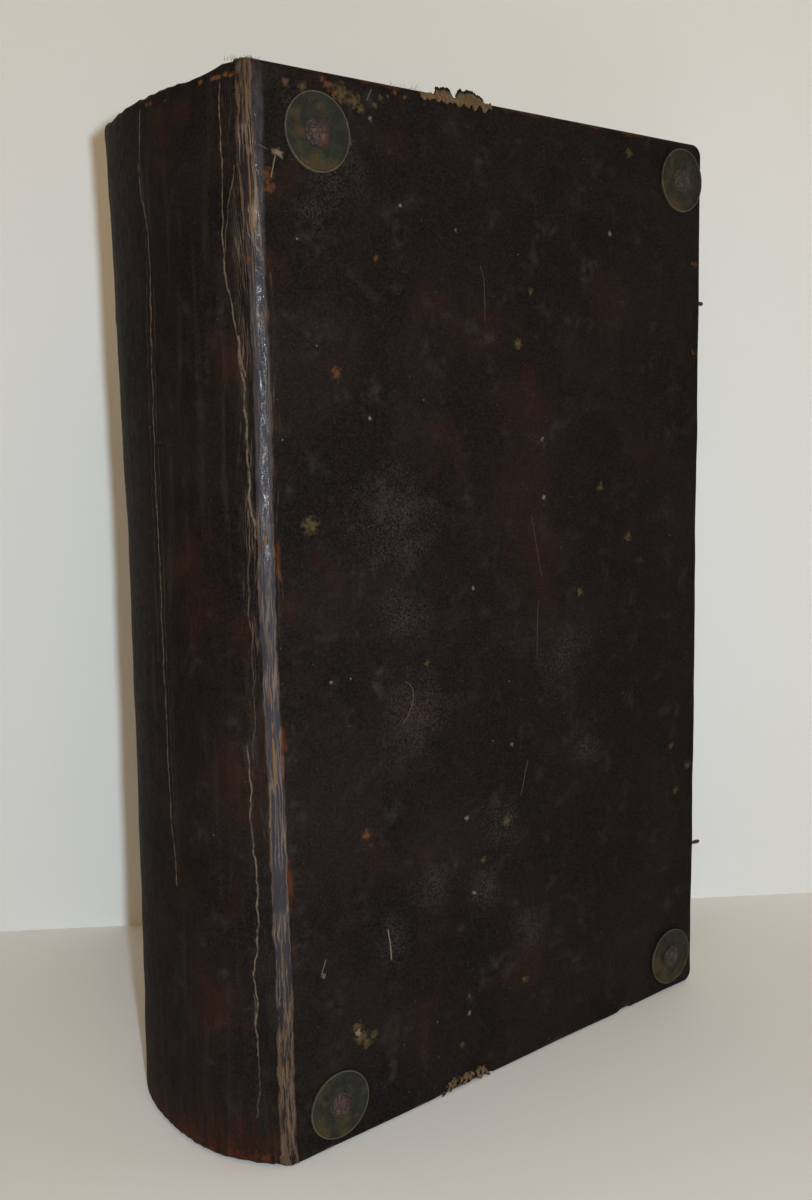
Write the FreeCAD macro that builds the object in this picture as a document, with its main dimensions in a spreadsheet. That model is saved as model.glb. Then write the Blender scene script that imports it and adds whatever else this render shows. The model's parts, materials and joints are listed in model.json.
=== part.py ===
import FreeCAD, Part
import math
import os
import Sketcher

# Antique leather book standing on its tail.
# +X runs from the spine to the fore-edge, the front cover faces -Y, +Z is up.
# The origin is under the middle of the whole book, at the height of its tail edges.

# Driving dimensions in millimetres, one spreadsheet cell each.
SIZES = {
    "cover_height": 400.0,
    "cover_width": 237.2,
    "book_thickness": 112.0,
    "leather_thickness": 1.2,
    "board_thickness": 8.5,
    "turn_in_thickness": 0.6,
    "turn_in_width": 14.0,
    "corner_radius": 5.5,
    "edge_rounding": 2.0,
    "pastedown_thickness": 0.3,
    "moving_gap": 0.3,
    "seat_gap": 0.05,
    "bulge_tail": 22.0,
    "bulge_head": 13.0,
    "headcap_drop": 3.2,
    "cap_thickness": 1.0,
    "cap_depth": 6.0,
    "lining_thickness": 1.0,
    "tail_square": 5.0,
    "head_square": 7.0,
    "fore_square": 6.0,
    "fore_edge_hollow": 12.0,
    "tape_width": 7.0,
    "tape_thickness": 1.5,
    "tape_margin": 45.0,
    "band_end_margin": 10.0,
    "endband_diameter": 2.6,
    "disc_diameter": 27.3,
    "disc_thickness": 0.9,
    "disc_rim_width": 0.9,
    "disc_rim_rise": 0.3,
    "nail_head_diameter": 10.4,
    "nail_head_rise": 2.6,
    "nail_diameter": 3.0,
    "nail_bite": 6.5,
    "upper_joint_disc_in": 27.4,
    "upper_joint_disc_down": 20.9,
    "upper_fore_disc_in": 15.2,
    "upper_fore_disc_down": 16.9,
    "lower_joint_disc_in": 22.9,
    "lower_joint_disc_up": 17.9,
    "lower_fore_disc_in": 17.5,
    "lower_fore_disc_up": 17.9,
    "stub_diameter": 2.6,
    "stub_bite": 12.0,
    "stub_depth": 3.2,
    "upper_stub_height": 331.7,
    "upper_stub_reach": 6.4,
    "lower_stub_height": 69.5,
    "lower_stub_reach": 9.5,
}
TAPE_COUNT = 5

doc = FreeCAD.newDocument("AntiqueBook")
sheet = doc.addObject("Spreadsheet::Sheet", "Sizes")
for row, (name, value) in enumerate(SIZES.items(), start=1):
    sheet.set(f"A{row}", name)
    sheet.set(f"B{row}", str(value))
    sheet.setAlias(f"B{row}", name)
doc.recompute()


class Size:
    """A length held as a number and as the spreadsheet formula that gives it."""

    def __init__(self, value, formula):
        self.value = value
        self.formula = formula

    def join(self, other, sign, result):
        return Size(result, f"({self.formula} {sign} {as_size(other).formula})")

    def __add__(self, other):
        return self.join(other, "+", self.value + as_size(other).value)

    def __sub__(self, other):
        return self.join(other, "-", self.value - as_size(other).value)

    def __mul__(self, other):
        return self.join(other, "*", self.value * as_size(other).value)

    def __truediv__(self, other):
        return self.join(other, "/", self.value / as_size(other).value)

    def __neg__(self):
        return Size(-self.value, f"(0 - {self.formula})")


def as_size(number):
    return number if isinstance(number, Size) else Size(float(number), repr(float(number)))


def cell(name):
    return Size(float(sheet.get(name)), f"Sizes.{name}")


def root(size):
    return Size(math.sqrt(size.value), f"sqrt({size.formula})")


def arc_sine(size):
    """Angle in degrees whose sine is the given ratio."""
    return Size(math.degrees(math.asin(size.value)), f"asin({size.formula})")


# Values that several pieces share, each worked out from the driving dimensions.
cover_height = cell("cover_height")
cover_width = cell("cover_width")
leather = cell("leather_thickness")
seat = cell("seat_gap")
half_thickness = cell("book_thickness") / 2
half_height = cover_height / 2
half_gap = cell("moving_gap") / 2
spine_top = cover_height - cell("headcap_drop")
block_bottom = cell("tail_square")
block_top = cover_height - cell("head_square")
cover_depth = leather + cell("board_thickness") + cell("turn_in_thickness")
joint_x = (cell("bulge_tail") - cover_width - cell("lower_stub_reach")) / 2
lining_offset = leather + seat
block_offset = lining_offset + cell("lining_thickness") + seat


def bind(item, prop, size):
    item.setExpression(prop, size.formula)


def place(item, x, y, z, turn=0.0):
    """Puts a piece at x, y, z, turned about the X axis, with its place bound to the sheet."""
    rotation = FreeCAD.Rotation(FreeCAD.Vector(1, 0, 0), turn)
    item.Placement = FreeCAD.Placement(FreeCAD.Vector(x.value, y.value, z.value), rotation)
    bind(item, ".Placement.Base.x", x)
    bind(item, ".Placement.Base.y", y)
    bind(item, ".Placement.Base.z", z)
    return item


def new_body(label):
    body = doc.addObject("PartDesign::Body", label)
    body.Label = label
    return body


def origin_plane(body, role):
    return next(item for item in body.Origin.OriginFeatures if item.Role == role)


def new_sketch(body, label, role, level, shift=None):
    """Sketch on one of the body's origin planes, raised by level along the plane's normal."""
    sketch = body.newObject("Sketcher::SketchObject", label)
    sketch.AttachmentSupport = [(origin_plane(body, role), "")]
    sketch.MapMode = "FlatFace"
    bind(sketch, ".AttachmentOffset.Base.z", as_size(level))
    if shift is not None:
        bind(sketch, ".AttachmentOffset.Base.x", shift)
    return sketch


def fix_point(sketch, element, point, x, y):
    for kind, size in (("DistanceX", x), ("DistanceY", y)):
        index = sketch.addConstraint(Sketcher.Constraint(kind, -1, 1, element, point, size.value))
        bind(sketch, f"Constraints[{index}]", size)


def draw_outline(sketch, corners):
    """Closed outline through corners (x, y, bend).

    The side that leaves a corner is straight where bend is None. Otherwise bend is
    (centre x, centre y, turn) of an arc, turn being 1 anticlockwise and -1 clockwise.
    """
    ends = []
    for index, (x, y, bend) in enumerate(corners):
        next_x, next_y, _ = corners[(index + 1) % len(corners)]
        start = FreeCAD.Vector(x.value, y.value, 0)
        stop = FreeCAD.Vector(next_x.value, next_y.value, 0)
        if bend is None:
            element = sketch.addGeometry(Part.LineSegment(start, stop), False)
            ends.append((element, 1, 2))
            continue
        centre_x, centre_y, turn = bend
        centre = FreeCAD.Vector(centre_x.value, centre_y.value, 0)
        first, last = (start, stop) if turn > 0 else (stop, start)
        circle = Part.Circle(centre, FreeCAD.Vector(0, 0, 1), (start - centre).Length)
        angles = [math.atan2(point.y - centre.y, point.x - centre.x) for point in (first, last)]
        if angles[1] <= angles[0]:
            angles[1] += 2 * math.pi
        element = sketch.addGeometry(Part.ArcOfCircle(circle, *angles), False)
        ends.append((element, 1, 2) if turn > 0 else (element, 2, 1))
    for index, (x, y, bend) in enumerate(corners):
        element, start, stop = ends[index]
        next_element, next_start, _ = ends[(index + 1) % len(corners)]
        sketch.addConstraint(Sketcher.Constraint("Coincident", element, stop, next_element, next_start))
        fix_point(sketch, element, start, x, y)
        if bend is not None:
            centre_x = bend[0]
            fixed = Sketcher.Constraint("DistanceX", -1, 1, element, 3, centre_x.value)
            bind(sketch, f"Constraints[{sketch.addConstraint(fixed)}]", centre_x)
    return sketch


def draw_circle(sketch, x, y, diameter):
    centre = FreeCAD.Vector(x.value, y.value, 0)
    circle = Part.Circle(centre, FreeCAD.Vector(0, 0, 1), diameter.value / 2)
    element = sketch.addGeometry(circle, False)
    fix_point(sketch, element, 3, x, y)
    index = sketch.addConstraint(Sketcher.Constraint("Diameter", element, diameter.value))
    bind(sketch, f"Constraints[{index}]", diameter)


def pad(body, sketch, length):
    feature = body.newObject("PartDesign::Pad", f"{sketch.Name}_pad")
    feature.Profile = sketch
    bind(feature, "Length", length)
    doc.recompute()
    return feature


def pocket(body, sketch, length):
    """Cuts the sketch against its own normal and makes sure that material went."""
    before = body.Shape.Volume
    feature = body.newObject("PartDesign::Pocket", f"{sketch.Name}_cut")
    feature.Profile = sketch
    bind(feature, "Length", length)
    doc.recompute()
    if not body.Shape.Volume < before:
        raise RuntimeError(f"{feature.Name} cut nothing")
    return feature


def loft(body, kind, sketches):
    feature = body.newObject(f"PartDesign::{kind}", f"{sketches[0].Name}_loft")
    feature.Profile = sketches[0]
    feature.Sections = sketches[1:]
    feature.Ruled = True
    doc.recompute()
    return feature


def turn_profile(body, kind, sketch, angle):
    """Revolution or Groove about the sketch's own vertical axis, half to each side."""
    feature = body.newObject(f"PartDesign::{kind}", f"{sketch.Name}_turned")
    feature.Profile = sketch
    feature.ReferenceAxis = (sketch, ["V_Axis"])
    feature.Midplane = True
    bind(feature, "Angle", angle)
    doc.recompute()
    return feature


def round_edges(body, radius, test):
    """Fillet on every edge of the body that passes the test."""
    names = []
    for index, edge in enumerate(body.Shape.Edges, start=1):
        if test(edge.BoundBox):
            names.append(f"Edge{index}")
    if not names:
        raise RuntimeError(f"no edge of {body.Label} to round")
    base = body.Tip
    feature = body.newObject("PartDesign::Fillet", f"{body.Name}_rounding")
    feature.Base = (base, names)
    bind(feature, "Radius", radius)
    doc.recompute()
    return feature


# Spine arcs: the back is round, fuller at the tail than at the head.


def spine_arc(height):
    """Centre x and radius of the leather's outer arc at a height, measured from the joint."""
    rise = (cell("bulge_head") - cell("bulge_tail")) * height / spine_top
    bulge = cell("bulge_tail") + rise
    radius = (half_thickness * half_thickness + bulge * bulge) / (bulge * 2)
    return radius - bulge, radius


def half_chord(height, offset):
    """Half the width of an arc lying offset inside the leather, where it stops at the joint."""
    centre, radius = spine_arc(height)
    inner = radius - offset
    reach = centre + half_gap
    return root(inner * inner - reach * reach)


def spine_section(body, label, height, offset):
    """Section between a spine arc and the straight line from joint to joint."""
    centre, _ = spine_arc(height)
    half = half_chord(height, offset)
    corners = [
        (-half_gap, half, (centre, as_size(0), 1)),
        (-half_gap, -half, None),
    ]
    return draw_outline(new_sketch(body, label, "XY_Plane", height), corners)


def crescent_section(body, label, height, outer, inner):
    """Section between two spine arcs."""
    centre, _ = spine_arc(height)
    outer_half = half_chord(height, outer)
    inner_half = half_chord(height, inner)
    corners = [
        (-half_gap, outer_half, (centre, as_size(0), 1)),
        (-half_gap, -outer_half, None),
        (-half_gap, -inner_half, (centre, as_size(0), -1)),
        (-half_gap, inner_half, None),
    ]
    return draw_outline(new_sketch(body, label, "XY_Plane", height), corners)


def block_section(body, label, height):
    """Section of the leaves: round back with shoulders, flat sides, hollow fore-edge."""
    centre, _ = spine_arc(height)
    shoulder = half_chord(height, block_offset)
    side = half_thickness - cover_depth - cell("moving_gap")
    fore = cover_width - cell("fore_square")
    hollow = cell("fore_edge_hollow")
    fore_radius = (side * side + hollow * hollow) / (hollow * 2)
    fore_centre = fore - hollow + fore_radius
    corners = [
        (-half_gap, shoulder, (centre, as_size(0), 1)),
        (-half_gap, -shoulder, None),
        (-half_gap, -side, None),
        (fore, -side, (fore_centre, as_size(0), -1)),
        (fore, side, None),
        (-half_gap, side, None),
    ]
    return draw_outline(new_sketch(body, label, "XY_Plane", height), corners)


def band_angle(height, gap):
    """Sweep of a tape or an endband that stops short of both shoulders."""
    _, radius = spine_arc(height)
    return arc_sine((half_thickness - cell("band_end_margin") + gap) / radius) * 2


def tape_sketch(body, label, height, outer, inner, width):
    """Upright rectangle on the middle plane, drawn from the spine arc's own axis."""
    centre, radius = spine_arc(height)
    left, right = outer - radius, inner - radius
    low, high = height - width / 2, height + width / 2
    corners = [(left, low, None), (right, low, None), (right, high, None), (left, high, None)]
    return draw_outline(new_sketch(body, label, "XZ_Plane", 0, centre), corners)


tape_pitch = (block_top - block_bottom - cell("tape_margin") * 2) / (TAPE_COUNT - 1)
tape_heights = [block_bottom + cell("tape_margin") + tape_pitch * step for step in range(TAPE_COUNT)]


def make_text_block():
    """All the leaves as one solid, with a slot across the back for each sewing tape."""
    body = new_body("text_block")
    sections = [
        block_section(body, "block_tail", block_bottom),
        block_section(body, "block_head", block_top),
    ]
    loft(body, "AdditiveLoft", sections)
    for number, height in enumerate(tape_heights, start=1):
        width = cell("tape_width") + seat * 2
        depth = block_offset + cell("tape_thickness") + seat * 2
        sketch = tape_sketch(body, f"slot_{number}", height, lining_offset, depth, width)
        turn_profile(body, "Groove", sketch, band_angle(height, seat))
    return place(body, joint_x, as_size(0), as_size(0))


def make_tape(number, height):
    """Flat support that the gatherings are sewn round, sunk into its slot."""
    body = new_body(f"sewing_tape_{number}")
    outer = block_offset + seat
    inner = outer + cell("tape_thickness")
    sketch = tape_sketch(body, f"tape_{number}", height, outer, inner, cell("tape_width"))
    turn_profile(body, "Revolution", sketch, band_angle(height, as_size(0)))
    return place(body, joint_x, as_size(0), as_size(0))


def make_endband(label, height):
    """Round core wound with thread, lying along the back edge of the leaves."""
    body = new_body(label)
    centre, radius = spine_arc(height)
    offset = lining_offset + cell("endband_diameter") / 2 + seat
    sketch = new_sketch(body, f"{label}_section", "XZ_Plane", 0, centre)
    draw_circle(sketch, offset - radius, height, cell("endband_diameter"))
    turn_profile(body, "Revolution", sketch, band_angle(height, as_size(0)))
    return place(body, joint_x, as_size(0), as_size(0))


def make_spine_lining():
    """Glued lining over the back of the leaves."""
    body = new_body("spine_lining")
    inner = lining_offset + cell("lining_thickness")
    sections = [
        crescent_section(body, "lining_tail", block_bottom, lining_offset, inner),
        crescent_section(body, "lining_head", block_top, lining_offset, inner),
    ]
    loft(body, "AdditiveLoft", sections)
    return place(body, joint_x, as_size(0), as_size(0))


def make_spine_leather():
    """Leather over the round back, turned in over the endbands at head and tail."""
    body = new_body("spine_leather")
    cap = cell("cap_thickness")
    levels = [
        ("AdditiveLoft", "back", as_size(0), spine_top, as_size(0)),
        ("SubtractiveLoft", "hollow", cap, spine_top - cap, leather),
        ("SubtractiveLoft", "mouth", as_size(0), spine_top, cell("cap_depth")),
    ]
    for kind, label, low, high, offset in levels:
        sections = [
            spine_section(body, f"{label}_tail", low, offset),
            spine_section(body, f"{label}_head", high, offset),
        ]
        loft(body, kind, sections)
    return place(body, joint_x, as_size(0), as_size(0))


# Covers. Each is drawn lying flat, outer face up at z = 0, joint at x = 0, middle of its
# height at y = 0, and is then stood up against its side of the book.

SIDES = {"front": (-1, 90.0), "back": (1, -90.0)}


def place_on_cover(item, side):
    sign, turn = SIDES[side]
    return place(item, joint_x, half_thickness * sign, half_height, turn)


def inset_corners(inset):
    """Three-sided outline of a cover drawn in by inset, from the head round to the tail."""
    edge = cover_width - inset
    half = half_height - inset
    bend = cell("corner_radius") - inset
    if bend.value <= 0:
        return [(half_gap, half, None), (edge, half, None), (edge, -half, None), (half_gap, -half, None)]
    return [
        (half_gap, half, None),
        (edge - bend, half, (edge - bend, half - bend, -1)),
        (edge, half - bend, None),
        (edge, -half + bend, (edge - bend, -half + bend, -1)),
        (edge - bend, -half, None),
        (half_gap, -half, None),
    ]


def reverse_corners(corners):
    """The same outline walked the other way, each arc turning the other way."""
    backwards = []
    for index in range(len(corners) - 1, -1, -1):
        x, y, _ = corners[index]
        bend = corners[index - 1][2] if index else None
        turned = None if bend is None else (bend[0], bend[1], -bend[2])
        backwards.append((x, y, turned))
    return backwards


def wrap_sketch(body, label, level, inset):
    """Band round the three free edges of a cover, from its outline in to the inset."""
    corners = inset_corners(as_size(0)) + reverse_corners(inset_corners(inset))
    return draw_outline(new_sketch(body, label, "XY_Plane", level), corners)


def disc_places():
    """Centre of each corner disc on a cover lying flat."""
    return {
        "upper_joint": (cell("upper_joint_disc_in"), half_height - cell("upper_joint_disc_down")),
        "upper_fore": (
            cover_width - cell("upper_fore_disc_in"),
            half_height - cell("upper_fore_disc_down"),
        ),
        "lower_joint": (cell("lower_joint_disc_in"), cell("lower_joint_disc_up") - half_height),
        "lower_fore": (
            cover_width - cell("lower_fore_disc_in"),
            cell("lower_fore_disc_up") - half_height,
        ),
    }


def drill_nail_holes(body, side, level, depth):
    sketch = new_sketch(body, f"{body.Name}_nail_holes", "XY_Plane", level)
    for x, y in disc_places().values():
        upright = y if side == "front" else -y
        draw_circle(sketch, x, upright, cell("nail_diameter") + seat * 2)
    pocket(body, sketch, depth)


def drill_stub_holes(body):
    """Holes for the broken clasp wires, drilled in from the fore-edge."""
    sketch = new_sketch(body, f"{body.Name}_stub_holes", "YZ_Plane", cover_width)
    for height in (cell("upper_stub_height"), cell("lower_stub_height")):
        diameter = cell("stub_diameter") + seat * 2
        draw_circle(sketch, height - half_height, -leather - cell("stub_depth"), diameter)
    pocket(body, sketch, cell("stub_bite") + seat)


def make_board(side):
    """Wooden board, rounded at the two fore-edge corners like the leather over it."""
    body = new_body(f"{side}_board")
    level = -leather - cell("board_thickness")
    sketch = new_sketch(body, f"{side}_board_outline", "XY_Plane", level)
    draw_outline(sketch, inset_corners(leather))
    pad(body, sketch, cell("board_thickness"))
    drill_nail_holes(body, side, -leather, cell("nail_bite") + seat)
    if side == "front":
        drill_stub_holes(body)
    return place_on_cover(body, side)


def make_cover_leather(side):
    """Leather over the board's face and edges, turned in round its inner face."""
    body = new_body(f"{side}_cover_leather")
    face = new_sketch(body, f"{side}_face", "XY_Plane", -leather)
    draw_outline(face, inset_corners(as_size(0)))
    pad(body, face, leather)
    rim_depth = cover_depth - leather
    pad(body, wrap_sketch(body, f"{side}_rim", -cover_depth, leather), rim_depth)
    turn_in = wrap_sketch(body, f"{side}_turn_in", -cover_depth, cell("turn_in_width"))
    pad(body, turn_in, cell("turn_in_thickness"))

    def on_free_edge(box):
        on_face = box.ZMin > -leather.value / 2
        return on_face and box.XMax > cover_width.value / 2

    round_edges(body, cell("edge_rounding"), on_free_edge)
    drill_nail_holes(body, side, as_size(0), leather)
    if side == "front":
        drill_stub_holes(body)
    return place_on_cover(body, side)


def make_pastedown(side):
    """Endpaper glued to the board inside its turn-ins."""
    body = new_body(f"{side}_pastedown")
    level = -leather - cell("board_thickness") - cell("pastedown_thickness")
    sketch = new_sketch(body, f"{side}_pastedown_outline", "XY_Plane", level)
    draw_outline(sketch, inset_corners(cell("turn_in_width") + seat))
    pad(body, sketch, cell("pastedown_thickness"))
    return place_on_cover(body, side)


def make_disc(side, corner, x, y):
    """Thin round plate with a raised rim and a hole for its nail."""
    body = new_body(f"{side}_{corner}_disc")
    sketch = new_sketch(body, f"{body.Name}_section", "XZ_Plane", 0)
    bore = cell("nail_diameter") / 2 + seat
    radius = cell("disc_diameter") / 2
    rim = radius - cell("disc_rim_width")
    plate = cell("disc_thickness") - cell("disc_rim_rise")
    corners = [
        (bore, as_size(0), None),
        (radius, as_size(0), None),
        (radius, cell("disc_thickness"), None),
        (rim, cell("disc_thickness"), None),
        (rim - cell("disc_rim_rise"), plate, None),
        (bore, plate, None),
    ]
    draw_outline(sketch, corners)
    turn_profile(body, "Revolution", sketch, as_size(360))
    return place_fitting(body, side, x, y, as_size(0))


def make_nail(side, corner, x, y):
    """Nail with a low domed head, driven through its disc into the board."""
    body = new_body(f"{side}_{corner}_nail")
    sketch = new_sketch(body, f"{body.Name}_section", "XZ_Plane", 0)
    shank = cell("nail_diameter") / 2
    head = cell("nail_head_diameter") / 2
    rise = cell("nail_head_rise")
    seat_level = cell("disc_thickness") - cell("disc_rim_rise")
    tip = -leather - cell("nail_bite")
    dome_radius = (head * head + rise * rise) / (rise * 2)
    dome_centre = seat_level + rise - dome_radius
    corners = [
        (as_size(0), tip, None),
        (shank, tip + shank, None),
        (shank, seat_level, None),
        (head, seat_level, (as_size(0), dome_centre, 1)),
        (as_size(0), seat_level + rise, None),
    ]
    draw_outline(sketch, corners)
    turn_profile(body, "Revolution", sketch, as_size(360))
    return place_fitting(body, side, x, y, as_size(0))


def place_fitting(item, side, x, y, z):
    """Stands a disc or nail on the outer face of a cover, at x, y on the cover lying flat."""
    sign, turn = SIDES[side]
    return place(item, joint_x + x, half_thickness * sign + z, half_height + y, turn)


def make_stub(label, height, reach):
    """Broken end of a clasp wire, driven into the board's fore-edge."""
    stub = doc.addObject("Part::Cylinder", label)
    stub.Label = label
    bind(stub, "Radius", cell("stub_diameter") / 2)
    bind(stub, "Height", cell("stub_bite") + reach)
    x = joint_x + cover_width - cell("stub_bite")
    y = leather + cell("stub_depth") - half_thickness
    stub.Placement = FreeCAD.Placement(
        FreeCAD.Vector(x.value, y.value, height.value),
        FreeCAD.Rotation(FreeCAD.Vector(0, 1, 0), 90.0),
    )
    bind(stub, ".Placement.Base.x", x)
    bind(stub, ".Placement.Base.y", y)
    bind(stub, ".Placement.Base.z", height)
    return stub


pieces = [make_text_block(), make_spine_lining(), make_spine_leather()]
endband_radius = cell("endband_diameter") / 2
pieces.append(make_endband("head_endband", block_top + endband_radius))
pieces.append(make_endband("tail_endband", block_bottom - endband_radius))
for tape_number, tape_height in enumerate(tape_heights, start=1):
    pieces.append(make_tape(tape_number, tape_height))
for cover_side in SIDES:
    pieces.append(make_board(cover_side))
    pieces.append(make_cover_leather(cover_side))
    pieces.append(make_pastedown(cover_side))
    for corner_name, (disc_x, disc_y) in disc_places().items():
        pieces.append(make_disc(cover_side, corner_name, disc_x, disc_y))
        pieces.append(make_nail(cover_side, corner_name, disc_x, disc_y))
pieces.append(make_stub("upper_clasp_stub", cell("upper_stub_height"), cell("upper_stub_reach")))
pieces.append(make_stub("lower_clasp_stub", cell("lower_stub_height"), cell("lower_stub_reach")))

doc.recompute()
for item in doc.Objects:
    if {"Invalid", "Error"} & set(item.State):
        raise RuntimeError(f"{item.Label} failed: {item.State}")
os.makedirs("parts", exist_ok=True)
for piece in pieces:
    if piece.Shape.isNull() or not piece.Shape.isValid():
        raise RuntimeError(f"{piece.Label} has no valid shape")
    piece.Shape.exportStep(f"parts/{piece.Label}.step")
    box = piece.Shape.BoundBox
    print(
        f"{piece.Label}: {piece.Shape.Volume:.0f} mm3, {len(piece.Shape.Solids)} solid, "
        f"x {box.XMin:.2f} {box.XMax:.2f}, y {box.YMin:.2f} {box.YMax:.2f}, "
        f"z {box.ZMin:.2f} {box.ZMax:.2f}"
    )
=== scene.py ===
"""Antique leather book: the visible pieces, their finishes and the studio.

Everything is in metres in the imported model's frame: +X runs from the spine to the fore-edge,
the front cover faces -Y and the book stands on z = 0.
"""

import json
import math

import bpy
import numpy as np
from bpy.props import FloatProperty, FloatVectorProperty, IntProperty, PointerProperty
from bpy.types import Operator, Panel, PropertyGroup
from mathutils import Matrix, Vector


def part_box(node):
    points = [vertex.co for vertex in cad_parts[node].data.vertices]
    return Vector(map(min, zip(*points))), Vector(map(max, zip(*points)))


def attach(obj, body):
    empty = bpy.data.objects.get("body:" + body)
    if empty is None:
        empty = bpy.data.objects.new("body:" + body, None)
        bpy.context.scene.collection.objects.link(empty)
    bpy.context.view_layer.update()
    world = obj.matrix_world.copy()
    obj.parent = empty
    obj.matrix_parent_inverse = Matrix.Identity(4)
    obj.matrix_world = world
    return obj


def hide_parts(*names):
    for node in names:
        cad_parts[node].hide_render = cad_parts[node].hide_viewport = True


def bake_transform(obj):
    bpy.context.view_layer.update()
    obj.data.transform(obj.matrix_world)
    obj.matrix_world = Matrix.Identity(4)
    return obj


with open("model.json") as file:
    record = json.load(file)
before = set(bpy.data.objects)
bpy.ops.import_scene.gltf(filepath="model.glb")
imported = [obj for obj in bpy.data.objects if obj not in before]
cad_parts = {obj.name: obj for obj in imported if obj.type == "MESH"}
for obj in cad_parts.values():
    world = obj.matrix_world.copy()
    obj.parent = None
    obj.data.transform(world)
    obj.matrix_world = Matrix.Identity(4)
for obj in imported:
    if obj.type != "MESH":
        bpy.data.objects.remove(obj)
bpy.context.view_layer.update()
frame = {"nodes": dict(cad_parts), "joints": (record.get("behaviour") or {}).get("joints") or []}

bl_info = {
    "name": "Antique Leather Book",
    "version": (1, 0, 0),
    "blender": (4, 5, 0),
    "location": "3D View > Sidebar > Book",
    "description": "Builds the visible pieces of an old leather-bound book round its frame",
    "category": "Add Mesh",
}

MM = 0.001
SIDES = {"front": -1.0, "back": 1.0}
CORNERS = ("upper_joint", "upper_fore", "lower_joint", "lower_fore")
COVER_LOW, COVER_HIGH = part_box("front_cover_leather")
JOINT_X = frame["joints"][0]["pos_m"][0]
HALF = -COVER_LOW.y
HEIGHT = COVER_HIGH.z
WIDTH = COVER_HIGH.x - JOINT_X
COVER_DEPTH = COVER_HIGH.y - COVER_LOW.y
BLOCK_LOW, BLOCK_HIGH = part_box("text_block")
BLOCK_SIDE = HALF - COVER_DEPTH - 0.3 * MM

# The camera of the photo: lens and sensor in millimetres, its place, and its axes.
LENS, SENSOR = 35.13, 36.0
CAMERA_PLACE = Vector((-0.323448, -0.351846 - HALF, 0.278128))
CAMERA_RIGHT = Vector((0.78825896, -0.61488617, -0.02372373))
CAMERA_UP = Vector((0.10917191, 0.1018039, 0.98879597))
CAMERA_LOOK = Vector((0.6055818, 0.78201724, -0.14737613))
# The wall runs through these two places on the table.
WALL_LEFT, WALL_RIGHT = (-0.1235, 0.2335), (0.127, 0.062)
WALL_REACH, WALL_HEIGHT, TABLE_REACH = 2.5, 2.2, 4.0


def linear(code):
    """Linear red, green and blue of an sRGB colour written as #rrggbb."""
    parts = [int(code[start : start + 2], 16) / 255 for start in (1, 3, 5)]
    return tuple(c / 12.92 if c <= 0.04045 else ((c + 0.055) / 1.055) ** 2.4 for c in parts)


def length(name, default, description):
    return FloatProperty(
        name=name, description=description, default=default, min=0.0, unit="LENGTH", precision=5
    )


def colour(name, code, description):
    return FloatVectorProperty(
        name=name, description=description, default=linear(code), size=3, min=0.0, max=1.0,
        subtype="COLOR",
    )


class BookSizes(PropertyGroup):
    """Sizes of the visible pieces that the frame doesn't fix."""

    skin_thickness: length("Skin", 1.1 * MM, "Thickness of the leather")
    ridge_rounding: length("Ridge", 3.2 * MM, "Half width of the rounded ridge at each joint")
    edge_rounding: length("Edge", 2.2 * MM, "Rounding where the leather goes over a board's edge")
    corner_radius: length("Corner", 5.5 * MM, "Radius of a cover's fore-edge corners")
    turn_in: length("Turn-in", 14 * MM, "Width of the leather turned in over a board")
    cap_reach: length("Cap", 2.6 * MM, "How far the leather turns in at the spine's ends")
    cap_dip: length("Cap dip", 3.2 * MM, "How much the spine's head lies below the covers")
    skin_wave: length("Wave", 0.16 * MM, "Height of the slow waves in the covers' leather")
    leaf_step: length("Leaf step", 0.22 * MM, "How unevenly the leaves' edges lie")
    thread_pitch: length("Thread", 0.62 * MM, "Spacing of the thread wound on the endbands")
    leaf_groups: IntProperty(
        name="Leaf groups", description="Steps across the leaves' edges", default=104, min=10
    )


class BookColours(PropertyGroup):
    """Colours of the finishes."""

    leather_dark: colour("Leather", "#0e0a08", "Darkened calf")
    leather_brown: colour("Brown leather", "#1a130f", "Where the dark dressing has thinned")
    leather_red: colour("Red leather", "#321810", "Where the skin's first colour shows")
    leather_bloom: colour("Bloom", "#3e3a37", "Grey dusty bloom")
    # Ridge grey: rubbed skin on the ridges, also laid along the shiny band as a painted sheen.
    ridge_grey_and_sheen: colour("Ridge", "#333136", "Rubbed and polished skin on the ridges")
    flesh_tan: colour("Flesh side", "#503f31", "Inside of the skin, laid bare by wear")
    # Pale flesh side: raised fibres of bared skin, also laid along the discs' raised rims as a painted highlight.
    flesh_pale_and_rim_highlight: colour("Pale flesh side", "#7c6a59", "Raised fibres of the bared skin")
    spot_ochre: colour("Ochre spots", "#54452a", "Drips and stains on the cover")
    spot_orange: colour("Orange spots", "#5a3822", "Bared, rotted skin in small spots")
    rust_orange: colour("Orange", "#4e2814", "Powdered red-rotted skin")
    paper: colour("Paper", "#cdbd98", "Aged rag paper")
    paper_edge: colour("Paper edge", "#8d7753", "Browned, dusty edges of the leaves")
    verdigris_dark: colour("Dark verdigris", "#1a1913", "Tarnished brass")
    verdigris_green: colour("Verdigris", "#24271c", "Green corrosion")
    verdigris_ochre: colour("Ochre corrosion", "#40361c", "Yellow-brown corrosion")
    rust: colour("Rust", "#42322a", "Rusted nail head")
    rust_dark: colour("Dark rust", "#2c2326", "Purple-black old rust")
    rust_bright: colour("Bright rust", "#64351a", "Fresh rust")
    oak: colour("Oak", "#6a4a2b", "Board")
    parchment: colour("Parchment", "#b39c74", "Spine lining and sewing tapes")
    thread: colour("Thread", "#ae946a", "Linen thread")
    # Dark thread: painted shade in the grooves between the turns of thread, and patches of dirt.
    thread_groove_shade_and_dirt: colour("Dark thread", "#5b4630", "Dirt between the threads")


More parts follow.
